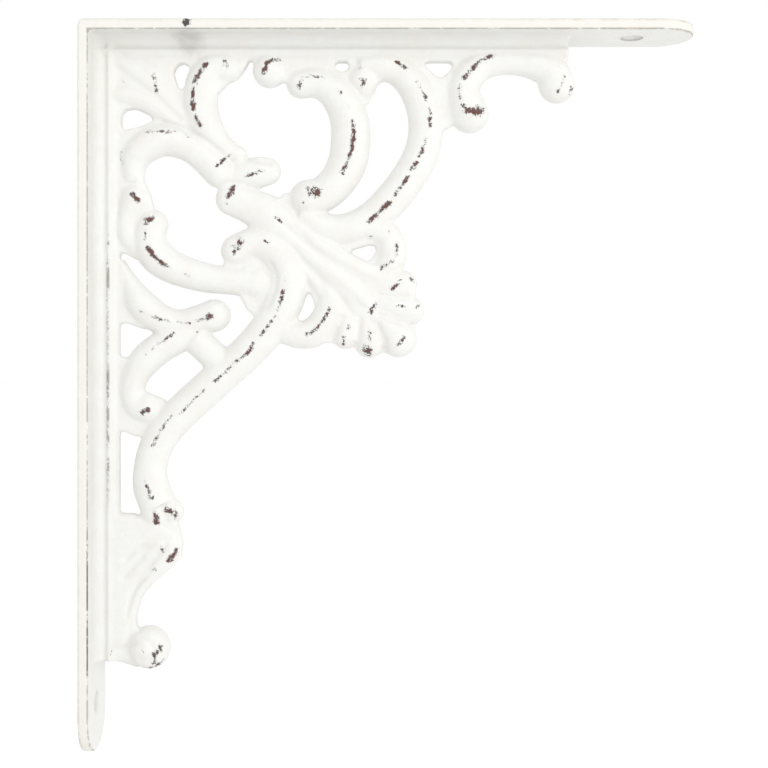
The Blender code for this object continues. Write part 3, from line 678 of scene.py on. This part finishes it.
def plate(name, loops, half, place):
    """A flat plate with holes: closed loops in millimetres, its half-thickness, and its pose."""
    curve = bpy.data.curves.new(name, "CURVE")
    curve.dimensions = "2D"
    curve.fill_mode = "BOTH"
    curve.extrude = half * MM
    for loop in loops:
        spline = curve.splines.new("POLY")
        spline.points.add(len(loop) - 1)
        spline.use_cyclic_u = True
        for point, spot in zip(spline.points, loop):
            point.co = (spot[0] * MM, spot[1] * MM, 0.0, 1.0)
    item = bpy.data.objects.new(name, curve)
    PATTERNS.objects.link(item)
    made = plain_copy(item, name + "_plate")
    drop(item)
    work = bmesh.new()
    work.from_mesh(made.data)
    bmesh.ops.remove_doubles(work, verts=work.verts, dist=WELD * MM)
    bmesh.ops.transform(work, matrix=place, verts=work.verts)
    bmesh.ops.recalc_face_normals(work, faces=work.faces)
    work.to_mesh(made.data)
    work.free()
    return made


# Plates are drawn flat and turned: up and across for the wall arm, out and across for the shelf
# arm, and in the drawing plane for the sheets
FACE_ON = Matrix.Rotation(math.radians(90.0), 4, "X")
ACROSS_WALL = Matrix(((0, 0, 1, 0), (1, 0, 0, 0), (0, 1, 0, 0), (0, 0, 0, 1)))


def tongue(long_end, half, hole):
    """A strap arm's outline with a half-round end at the right, and its screw hole."""
    outline = [(CORNER_ROUND, -half), (long_end - half, -half)]
    outline += arc((long_end - half, 0.0), half, -90.0, 90.0, TONGUE_STEPS)[1:]
    outline += [(CORNER_ROUND, half)]
    return [outline, arc((hole, 0.0), HOLE_DIAMETER / 2, 0.0, 360.0, TONGUE_STEPS)[:-1]]


def strap_arms():
    """The wall arm and the shelf arm, each a flat plate with a screw hole."""
    half = WIDTH / 2
    shelf = plate(
        "shelf_arm", tongue(REACH, half, SHELF_HOLE_REACH), STRAP / 2,
        Matrix.Translation((0.0, 0.0, (ORIGIN_DEPTH - STRAP / 2) * MM)),
    )
    down = Matrix.Rotation(math.radians(90.0), 4, "Y")
    wall = plate(
        "wall_arm", tongue(HEIGHT, half, WALL_HOLE_DEPTH), STRAP / 2,
        Matrix.Translation((STRAP / 2 * MM, 0.0, ORIGIN_DEPTH * MM)) @ down,
    )
    return [shelf, wall, corner()]


def corner():
    """The strap's bend, rounded on its outer side."""
    top = ORIGIN_DEPTH
    bend = [(CORNER_ARM, top), (CORNER_ARM, top - STRAP), (STRAP, top - STRAP)]
    bend += [(STRAP, top - CORNER_ARM), (0.0, top - CORNER_ARM)]
    bend += arc((CORNER_ROUND, top - CORNER_ROUND), CORNER_ROUND, 180.0, 90.0, ARC_STEPS)
    return plate("corner", [bend], WIDTH / 2, FACE_ON)


def corner_fills():
    """The round end of the rails' cove in the inner corner, in thin layers."""
    made = []
    for layer in range(CORNER_FILLS):
        share = layer / (CORNER_FILLS - 1)
        wide, thin = CORNER_FILL_HALF
        small, large = CORNER_FILL_RADIUS
        radius = small + (large - small) * share * share
        inner = STRAP - CORNER_FILL_SINK
        middle = (STRAP + radius, ORIGIN_DEPTH - STRAP - radius)
        fill = [(inner, ORIGIN_DEPTH - inner), (middle[0], ORIGIN_DEPTH - inner)]
        fill += arc(middle, radius, 90.0, 180.0, ARC_STEPS)
        fill += [(inner, middle[1])]
        made.append(plate("corner_fill", [fill], wide + (thin - wide) * share, FACE_ON))
    return made


def rails():
    """The rail along the wall arm and the rail under the shelf arm, cut square at their ends."""
    front = [(STRAP / 2, WEB_HALF + COVE_WIDE)]
    for out, half in arc((1.0, 1.0), 1.0, 180.0, 270.0, ARC_STEPS):
        front.append((STRAP + out * COVE_OUT, WEB_HALF + half * COVE_WIDE))
    front += [
        (ARRIS_OUT, ARRIS_HALF), (SHOULDER_OUT, SHOULDER_HALF), (RAIL_OUT, RAIL_EDGE_HALF),
    ]
    whole = front + [(out, -half) for out, half in reversed(front)]
    start = STRAP / 2
    wall_half = (WALL_RAIL_END - start) / 2
    wall_middle = Matrix.Translation((0.0, 0.0, (ORIGIN_DEPTH - start - wall_half) * MM))
    wall = plate("wall_rail", [whole], wall_half, wall_middle)
    shelf_half = (SHELF_RAIL_END - start) / 2
    under = [(half, ORIGIN_DEPTH - out) for out, half in whole]
    shelf_middle = Matrix.Translation(((start + shelf_half) * MM, 0.0, 0.0))
    shelf = plate("shelf_rail", [under], shelf_half, shelf_middle @ ACROSS_WALL)
    return [wall, shelf]


def sheets():
    """The thin sheets between the ribs, with the eyes left in them, and the thicker middles."""
    outlines = [(name, SHEET_HALF, loops) for name, loops in SHEETS.items()]
    outlines += [(name, half, [rim]) for name, (half, rim) in BODIES.items()]
    made = []
    for name, half, loops in outlines:
        drawn = [[(reach, ORIGIN_DEPTH - depth) for reach, depth in loop] for loop in loops]
        made.append(plate(name, drawn, half, FACE_ON))
    return made


def joined(name, items):
    """One object from several."""
    work = bmesh.new()
    for item in items:
        work.from_mesh(item.data)
        drop(item)
    mesh = bpy.data.meshes.new(name)
    work.to_mesh(mesh)
    work.free()
    return add_mesh(name, mesh)


def fused(item):
    """Fuse overlapping forms into one skin on a fine grid."""
    fuse = item.modifiers.new("fuse", "REMESH")
    fuse.mode = "VOXEL"
    fuse.voxel_size = FUSE_GRID * MM
    made = plain_copy(item, "fused")
    drop(item)
    return made


def softened(item, passes):
    """Round every arris a little, as sand casting leaves it."""
    smooth = item.modifiers.new("soften", "SMOOTH")
    smooth.factor = SOFTEN_FACTOR
    smooth.iterations = passes
    made = plain_copy(item, "softened")
    drop(item)
    return made


def thinned(item, limit):
    """Fewer faces, mostly on the flats."""
    faces = sum(len(face.vertices) - 2 for face in item.data.polygons)
    if faces <= limit:
        return item
    fewer = item.modifiers.new("fewer", "DECIMATE")
    fewer.ratio = limit / faces
    made = plain_copy(item, "thinned")
    drop(item)
    return made


def positions(mesh):
    """The vertices as an array of numbers."""
    places = np.zeros(len(mesh.vertices) * 3)
    mesh.vertices.foreach_get("co", places)
    return places.reshape(-1, 3)


def edge_ends(mesh):
    """The two vertices of every edge."""
    edges = np.zeros(len(mesh.edges) * 2, np.int64)
    mesh.edges.foreach_get("vertices", edges)
    return edges.reshape(-1, 2)


def vertex_normals(mesh):
    """The vertices' normals as an array of numbers."""
    normals = np.zeros(len(mesh.vertices) * 3)
    mesh.vertices.foreach_get("normal", normals)
    return normals.reshape(-1, 3)


def on_drawing(places):
    """Reach and depth of every vertex, in millimetres."""
    return np.stack([places[:, 0] / MM, ORIGIN_DEPTH - places[:, 2] / MM], axis=1)


def away_from(flat, line):
    """How far each drawn point is from a line of points."""
    nearest = np.full(len(flat), 1.0e9)
    for start, end in zip(line[:-1], line[1:]):
        start, end = np.array(start), np.array(end)
        along = end - start
        share = np.clip((flat - start) @ along / max(along @ along, 1.0e-9), 0.0, 1.0)
        gap = np.linalg.norm(flat - start - share[:, None] * along, axis=1)
        nearest = np.minimum(nearest, gap)
    return nearest


def carve(mesh):
    """Cut the grooves and raise the ridges, alike on both sides."""
    places = positions(mesh)
    flat = on_drawing(places)
    rise = np.zeros(len(places))
    for height, half, line in CARVING:
        rise += height * np.exp(-((away_from(flat, line) / half) ** 2))
    side = np.clip(places[:, 1] / (CARVE_FADE * MM), -1.0, 1.0)
    places[:, 1] += side * rise * MM
    mesh.vertices.foreach_set("co", places.ravel())
    mesh.update()


def bulge(mesh, passes):
    """How far each vertex stands out of its smoothed surroundings, in millimetres."""
    places = positions(mesh)
    edges = edge_ends(mesh)
    count = np.bincount(edges.ravel(), minlength=len(places)).astype(float)
    count = np.maximum(count, 1.0)[:, None]
    smooth = places.copy()
    for _ in range(passes):
        total = np.zeros_like(smooth)
        for axis in range(3):
            total[:, axis] = (
                np.bincount(edges[:, 0], smooth[edges[:, 1], axis], len(places))
                + np.bincount(edges[:, 1], smooth[edges[:, 0], axis], len(places))
            )
        smooth = 0.5 * smooth + 0.5 * total / count
    return ((places - smooth) * vertex_normals(mesh)).sum(axis=1) / MM


def store(mesh, name, values):
    """Keep one number for each vertex."""
    mesh.attributes.new(name, "FLOAT", "POINT").data.foreach_set("value", values.astype(np.float32))


def longest_edges(mesh, places):
    """The longest edge at every vertex, in millimetres."""
    edges = edge_ends(mesh)
    lengths = np.linalg.norm(places[edges[:, 0]] - places[edges[:, 1]], axis=1) / MM
    longest = np.zeros(len(places))
    for end in (0, 1):
        np.maximum.at(longest, edges[:, end], lengths)
    return longest


def in_strap(flat):
    """Whether each drawn point is in the strap or the foot of the rail's cove."""
    return (flat[:, 0] < STRAP + COVE_OUT) | (flat[:, 1] < STRAP + COVE_OUT)


def measured(mesh):
    """How proud each vertex of the full skin stands, to be looked up by place."""
    proud = bulge(mesh, SURROUNDINGS_PASSES)
    tree = KDTree(len(mesh.vertices))
    for index, vertex in enumerate(mesh.vertices):
        tree.insert(vertex.co, index)
    tree.balance()
    return tree, proud


def keep_in_box(mesh):
    """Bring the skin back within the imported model's box, which its grid overruns by a hair."""
    places = np.clip(positions(mesh), np.array(CAD_BOUNDS[0]), np.array(CAD_BOUNDS[1]))
    mesh.vertices.foreach_set("co", places.ravel())
    mesh.update()


def mark_wear(mesh, skin):
    """Store where the paint is rubbed, and where the surface is proud or hollow."""
    places = positions(mesh)
    flat = on_drawing(places)
    facing = np.abs(vertex_normals(mesh)[:, 1])
    facing = np.clip(facing * FACING_GAIN - FACING_LOSS, 0.0, 1.0)
    rubbed = np.zeros(len(places))
    for half, line in RUBS:
        strength = min(max(half * RUB_STRENGTH, RUB_LEAST), 1.0)
        reached = np.exp(-((away_from(flat, line) / (half * RUB_REACH)) ** 2))
        rubbed = np.maximum(rubbed, strength * reached)
    plainer_back = np.where(places[:, 1] > 0.0, FAR_SIDE_WEAR, 1.0)
    spread = np.clip(2.0 - longest_edges(mesh, places) / LONG_EDGE, 0.0, 1.0)
    store(mesh, "rubbed", rubbed * facing * plainer_back * spread)
    tree, full = skin
    proud = np.array([full[tree.find(vertex.co)[1]] for vertex in mesh.vertices])
    proud[in_strap(flat)] = 0.0
    store(mesh, "proud", np.clip(proud / FULLY_PROUD, 0.0, 1.0))
    store(mesh, "hollow", np.clip(-proud / FULLY_PROUD, 0.0, 1.0))


class Wiring:
    """Short names for building a material's nodes."""

    def __init__(self, tree):
        self.tree = tree

    def put(self, value, socket):
        """Link a socket, or set a plain value."""
        if isinstance(value, bpy.types.NodeSocket):
            self.tree.links.new(value, socket)
        else:
            socket.default_value = value

    def math(self, operation, first, second=0.0, third=None):
        """One step of arithmetic."""
        node = self.tree.nodes.new("ShaderNodeMath")
        node.operation = operation
        self.put(first, node.inputs[0])
        self.put(second, node.inputs[1])
        if third is not None:
            self.put(third, node.inputs[2])
        return node.outputs["Value"]

    def times(self, first, second):
        """Two numbers multiplied."""
        return self.math("MULTIPLY", first, second)

    def span(self, value, low, high, out_low=0.0, out_high=1.0):
        """A smooth step over a distance given in millimetres."""
        return self.ramp(value, low * MM, high * MM, out_low, out_high)

    def distance(self, place, spot):
        """How far a place is from one spot."""
        node = self.tree.nodes.new("ShaderNodeVectorMath")
        node.operation = "DISTANCE"
        self.put(place, node.inputs[0])
        self.put(spot, node.inputs[1])
        return node.outputs["Value"]

    def ramp(self, value, low, high, out_low=0.0, out_high=1.0):
        """A smooth step from one number to another."""
        node = self.tree.nodes.new("ShaderNodeMapRange")
        node.interpolation_type = "SMOOTHSTEP"
        self.put(value, node.inputs["Value"])
        self.put(low, node.inputs["From Min"])
        self.put(high, node.inputs["From Max"])
        self.put(out_low, node.inputs["To Min"])
        self.put(out_high, node.inputs["To Max"])
        return node.outputs["Result"]

    def mix(self, share, first, second):
        """Blend two colours."""
        node = self.tree.nodes.new("ShaderNodeMix")
        node.data_type = "RGBA"
        self.put(share, node.inputs["Factor"])
        self.put(first, node.inputs["A"])
        self.put(second, node.inputs["B"])
        return node.outputs["Result"]

    def noise(self, place, scale, detail, roughness=0.5):
        """Even random mottling, its scale in cells per metre."""
        node = self.tree.nodes.new("ShaderNodeTexNoise")
        self.put(place, node.inputs["Vector"])
        node.inputs["Scale"].default_value = scale
        node.inputs["Detail"].default_value = detail
        node.inputs["Roughness"].default_value = roughness
        return node.outputs["Fac"]

    def stored(self, name):
        """A number kept on the piece's vertices."""
        node = self.tree.nodes.new("ShaderNodeAttribute")
        node.attribute_name = name
        return node.outputs["Fac"]


PAINT = (0.735, 0.736, 0.714, 1.0)
PAINT_WARM = (0.728, 0.718, 0.680, 1.0)
PAINT_YELLOWED = (0.722, 0.700, 0.630, 1.0)
# A scuff grey, also used as painted shade round the shelf arm's screw hole
SCUFF_AND_SHADE_GREY = (0.34, 0.325, 0.31, 1.0)
UNDERCOAT = (0.130, 0.045, 0.035, 1.0)
BARE_IRON = (0.060, 0.052, 0.050, 1.0)
TAN = (0.56, 0.47, 0.36, 1.0)
SMUDGE_PLACE = (0.0325, -0.0062, 0.1048)
CHIP_PLACE = (0.0332, -0.0115, 0.1088)
RAGGED = 5.0

# Mottling, in cells per metre
FINE_GRAIN = 2600.0
MEDIUM_GRAIN = 900.0
BROAD_MOTTLE = 180.0
RUB_GAPS = 330.0
TAN_PATCHES = 300.0
COARSE_SAND = 420.0
FINE_SAND = 1300.0

# Where wear comes and goes along the arms, in millimetres
TAN_ALONG_SHELF = (128.0, 160.0)
TAN_ALONG_WALL = (196.0, 212.0)
TAN_AT_ENDS = (0.0, 9.0)
ARRIS_RUB_STARTS = (56.0, 70.0)
ARRIS_RUB_ENDS = (136.0, 154.0)
LINE_BARE_STARTS = (150.0, 166.0)
LINE_BARE_ENDS = (196.0, 206.0)

# How far the grain tears a rub, and how much each faint mark shows
TEAR_FINE = 3.5
TEAR_BROAD = 1.4
HALO_SHARE = 0.36
SCUFF_SHARE = 0.25
RIM_SHARE = 0.22
LINE_SHARE = 0.95
ARRIS_SHARE = 0.6
HOLLOW_SHARE = 0.35
BUMP_STRENGTH = 0.6
BUMP_DISTANCE = 0.15


def painted_iron():
    """Off-white paint over a red-brown undercoat, rubbed through to dark iron on the crests."""
    material = bpy.data.materials.new("painted_iron")
    material.use_nodes = True
    tree = material.node_tree
    wire = Wiring(tree)
    shader = tree.nodes["Principled BSDF"]
    place = tree.nodes.new("ShaderNodeTexCoord").outputs["Object"]
    fine = wire.noise(place, FINE_GRAIN, 3.0, 0.6)
    medium = wire.noise(place, MEDIUM_GRAIN, 3.0, 0.6)
    broad = wire.noise(place, BROAD_MOTTLE, 2.0)
    grain = wire.math("ADD", wire.times(fine, 0.5), wire.times(medium, 0.5))
    uneven = wire.math("SUBTRACT", grain, 0.5)
    gaps = wire.math("SUBTRACT", wire.noise(place, RUB_GAPS, 2.0), 0.5)

    # The rubs, torn into flecks by the grain
    rubbed = wire.stored("rubbed")
    torn = wire.math("MULTIPLY_ADD", uneven, TEAR_FINE, rubbed)
    torn = wire.math("MULTIPLY_ADD", gaps, TEAR_BROAD, torn)
    torn = wire.times(torn, wire.ramp(rubbed, 0.05, 0.25))
    flecks = wire.ramp(torn, 0.60, 0.74)
    deep = wire.ramp(torn, 0.80, 1.0)
    halo = wire.ramp(torn, 0.28, 0.60)

    # The strap's arrises show a thin broken line, which runs on around the round ends
    spots = tree.nodes.new("ShaderNodeSeparateXYZ")
    tree.links.new(place, spots.inputs["Vector"])
    out, across, up = spots.outputs["X"], spots.outputs["Y"], spots.outputs["Z"]
    below = wire.math("SUBTRACT", ORIGIN_DEPTH * MM, up)
    half = WIDTH / 2 * MM
    past_end = wire.math(
        "MAXIMUM", wire.math("SUBTRACT", out, REACH * MM - half),
        wire.math("SUBTRACT", below, HEIGHT * MM - half),
    )
    past_end = wire.math("MAXIMUM", past_end, 0.0)
    across_squared = wire.times(across, across)
    from_middle = wire.math("MULTIPLY_ADD", past_end, past_end, across_squared)
    edge = wire.math("SUBTRACT", half, wire.math("SQRT", from_middle))
    skin_depth = wire.math("MINIMUM", out, below)
    inner = wire.math("ABSOLUTE", wire.math("SUBTRACT", skin_depth, STRAP * MM))
    near_inner = wire.math("ADD", inner, edge)
    near_outer = wire.math("ADD", skin_depth, edge)
    broken = wire.math("MULTIPLY_ADD", uneven, 2.0, broad)
    line = wire.span(near_inner, 0.45, 0.72, 1.0, 0.0)
    line = wire.times(line, wire.ramp(broken, 0.24, 0.48))
    rim = wire.span(near_outer, 0.35, 0.95, 1.0, 0.0)
    rim = wire.times(rim, wire.ramp(broken, 0.2, 0.7, 0.4, 1.0))
    yellowed = wire.span(edge, 0.2, 1.2, 0.6, 0.0)
    tanned = wire.span(wire.math("MINIMUM", near_inner, near_outer), 0.3, 1.1, 1.0, 0.0)
    far_along = wire.math(
        "MAXIMUM", wire.span(out, *TAN_ALONG_SHELF), wire.span(below, *TAN_ALONG_WALL)
    )
    tanned = wire.times(tanned, far_along)
    tanned = wire.times(tanned, wire.ramp(wire.noise(place, TAN_PATCHES, 3.0), 0.42, 0.6))

    # The shelf arm's screw hole gets a dark rim of painted shade, strongest on the arm's underside
    past_hole = wire.math("SUBTRACT", out, SHELF_HOLE_REACH * MM)
    past_hole = wire.times(past_hole, past_hole)
    past_hole = wire.math("SQRT", wire.math("MULTIPLY_ADD", across, across, past_hole))
    painted_hole_shade = wire.math("ABSOLUTE", wire.math("SUBTRACT", past_hole, HOLE_DIAMETER / 2 * MM))
    painted_hole_shade = wire.span(painted_hole_shade, 0.2, 0.6, 0.75, 0.0)
    painted_hole_shade = wire.times(painted_hole_shade, wire.span(inner, 0.3, 0.9, 1.0, 0.2))

    # A chip out of the shelf arm's near top edge
    chip = wire.math("MULTIPLY_ADD", uneven, RAGGED * MM, wire.distance(place, CHIP_PLACE))
    flecks = wire.math("MAXIMUM", flecks, wire.span(chip, 0.95, 1.25, 1.0, 0.0))

    # The rail's arris along the wall arm is rubbed in a broken line
    arris = wire.math("ABSOLUTE", wire.math("SUBTRACT", out, ARRIS_OUT * MM))
    arris = wire.span(arris, 0.25, 0.7, 1.0, 0.0)
    arris = wire.times(arris, wire.span(below, *ARRIS_RUB_STARTS))
    arris = wire.times(arris, wire.span(below, *ARRIS_RUB_ENDS, 1.0, 0.0))
    arris = wire.times(arris, wire.ramp(broken, 0.42, 0.62))
    flecks = wire.math("MAXIMUM", flecks, wire.times(arris, ARRIS_SHARE))

    # The wall arm's arris is bare near its foot
    bared = wire.times(line, wire.span(below, *LINE_BARE_STARTS, 0.0, 0.85))
    bared = wire.times(bared, wire.span(below, *LINE_BARE_ENDS, 1.0, 0.0))
    flecks = wire.math("MAXIMUM", flecks, bared)

    # A dull smudge under the shelf arm
    stain = wire.math("MULTIPLY_ADD", gaps, RAGGED * MM, wire.distance(place, SMUDGE_PLACE))
    stain = wire.span(stain, 1.5, 7.5, 0.42, 0.0)
    stain = wire.times(stain, wire.span(below, 2.4, 3.3))

    # Proud crests are faintly scuffed, and hollows are painted a warmer, slightly darker coat as
    # painted shade with a warm tint
    proud = wire.math("MULTIPLY_ADD", uneven, 2.4, wire.stored("proud"))
    scuffed = wire.ramp(proud, 1.05, 1.35)
    hollow = wire.ramp(wire.stored("hollow"), 0.1, 0.9)

    coat = wire.mix(wire.ramp(broad, 0.35, 0.7), PAINT, PAINT_WARM)
    # Painted shade in the hollows: a warmer, slightly darker coat
    coat = wire.mix(wire.times(hollow, HOLLOW_SHARE), coat, PAINT_WARM)
    coat = wire.mix(yellowed, coat, PAINT_YELLOWED)
    tan_share = wire.span(past_end, *TAN_AT_ENDS, 0.4, 0.75)
    coat = wire.mix(wire.times(tanned, tan_share), coat, TAN)
    coat = wire.mix(stain, coat, SCUFF_AND_SHADE_GREY)
    faint_marks = ((halo, HALO_SHARE), (scuffed, SCUFF_SHARE), (rim, RIM_SHARE), (line, LINE_SHARE))
    # Faint real wear and the painted shade round the screw hole are mixed in with the same grey
    faint_wear_and_hole_shade = painted_hole_shade
    for mark, share in faint_marks:
        faint_wear_and_hole_shade = wire.math("MAXIMUM", faint_wear_and_hole_shade, wire.times(mark, share))
    coat = wire.mix(faint_wear_and_hole_shade, coat, SCUFF_AND_SHADE_GREY)
    coat = wire.mix(flecks, coat, wire.mix(deep, BARE_IRON, UNDERCOAT))
    tree.links.new(coat, shader.inputs["Base Color"])
    shine = wire.math("MULTIPLY_ADD", flecks, 0.18, wire.ramp(medium, 0.3, 0.7, 0.42, 0.54))
    tree.links.new(shine, shader.inputs["Roughness"])

    # Sand grain under the paint, and the paint's own thickness at a rub
    bump = tree.nodes.new("ShaderNodeBump")
    bump.inputs["Strength"].default_value = BUMP_STRENGTH
    bump.inputs["Distance"].default_value = BUMP_DISTANCE * MM
    relief = wire.times(wire.noise(place, COARSE_SAND, 2.0), 2.2)
    relief = wire.math("ADD", relief, wire.noise(place, FINE_SAND, 4.0, 0.6))
    relief = wire.math("SUBTRACT", relief, wire.times(flecks, 0.5))
    tree.links.new(relief, bump.inputs["Height"])
    tree.links.new(bump.outputs["Normal"], shader.inputs["Normal"])
    return material


def casting(material):
    """The bracket as one skin."""
    ribs = list(RIBS.values()) + list(LEAF_RIBS.values())
    ribs += [(FLUTED, "end", stations) for stations in FOOT_FLUTES]
    rib_values = {"Sides": RIB_SIDES, "Material": material}
    knob_values = {"Segments": RIB_SIDES, "Flatness": KNOB_FLATNESS, "Material": material}
    forms = [grown(drawn_paths("ribs", ribs), swept_ribs_tree(), rib_values)]
    forms += [grown(drawn_points("knobs", KNOBS.values()), knobs_tree(), knob_values)]
    forms += strap_arms() + corner_fills() + rails() + sheets()
    item = fused(joined("forms", forms))
    carve(item.data)
    item = softened(item, SOFTEN_PASSES)
    skin = measured(item.data)
    item = thinned(item, FACE_LIMIT)
    made = add_mesh("bracket_casting", item.data.copy(), PARTS)
    drop(item)
    keep_in_box(made.data)
    made.data.materials.clear()
    made.data.materials.append(material)
    made.data.shade_smooth()
    mark_wear(made.data, skin)
    return made


# The studio: the floor, the lamps (place, size, power), and the camera
FLOOR_HALF = 4.0
FLOOR_GAP = 12.0
FLOOR_WHITE = (1.0, 1.0, 1.0, 1.0)
FLOOR_ROUGHNESS = 0.9
LAMPS = {"key": ((0.25, -1.4, 0.95), 0.9, 5.4), "fill": ((1.7, -0.9, 0.0), 0.6, 7.8)}
LAMP_AIM = (0.09, 0.0, 0.0)
CAMERA_PLACE = (0.0962, -0.3815, 0.0111)
CAMERA_LENS = 57.33
CAMERA_SHIFT = (-0.01432, -0.05078)


def studio():
    """A pale floor, soft lights and the camera square to the bracket's side."""
    floor_paint = bpy.data.materials.new("studio_floor")
    floor_paint.use_nodes = True
    shader = floor_paint.node_tree.nodes["Principled BSDF"]
    shader.inputs["Base Color"].default_value = FLOOR_WHITE
    shader.inputs["Roughness"].default_value = FLOOR_ROUGHNESS
    mesh = bpy.data.meshes.new("floor")
    size = FLOOR_HALF
    level = (ORIGIN_DEPTH - HEIGHT - FLOOR_GAP) * MM
    mesh.from_pydata(
        [(-size, -size, level), (size, -size, level), (size, size, level), (-size, size, level)],
        [], [(0, 1, 2, 3)],
    )
    floor = add_mesh("floor", mesh, bpy.context.scene.collection)
    mesh.materials.append(floor_paint)

    world = bpy.data.worlds.new("studio")
    world.use_nodes = True
    background = world.node_tree.nodes["Background"]
    background.inputs["Color"].default_value = (1.0, 1.0, 1.0, 1.0)
    background.inputs["Strength"].default_value = 1.0
    bpy.context.scene.world = world
    bpy.context.scene.view_settings.view_transform = "Standard"

    for name, (place, size, power) in LAMPS.items():
        light = bpy.data.lights.new(name, "AREA")
        light.shape = "DISK"
        light.size = size
        light.energy = power
        lamp = bpy.data.objects.new(name, light)
        bpy.context.scene.collection.objects.link(lamp)
        lamp.location = place
        aim = Vector(LAMP_AIM) - Vector(place)
        lamp.rotation_euler = aim.to_track_quat("-Z", "Y").to_euler()

    lens = bpy.data.cameras.new("camera")
    lens.sensor_width = 36.0
    lens.lens = CAMERA_LENS
    lens.shift_x, lens.shift_y = CAMERA_SHIFT
    lens.clip_start = 0.01
    camera = bpy.data.objects.new("camera", lens)
    bpy.context.scene.collection.objects.link(camera)
    camera.location = CAMERA_PLACE
    camera.rotation_euler = (math.radians(90.0), 0.0, 0.0)
    bpy.context.scene.camera = camera


bracket = casting(painted_iron())
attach(bracket, "root")
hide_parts("shelf_bracket")
studio()
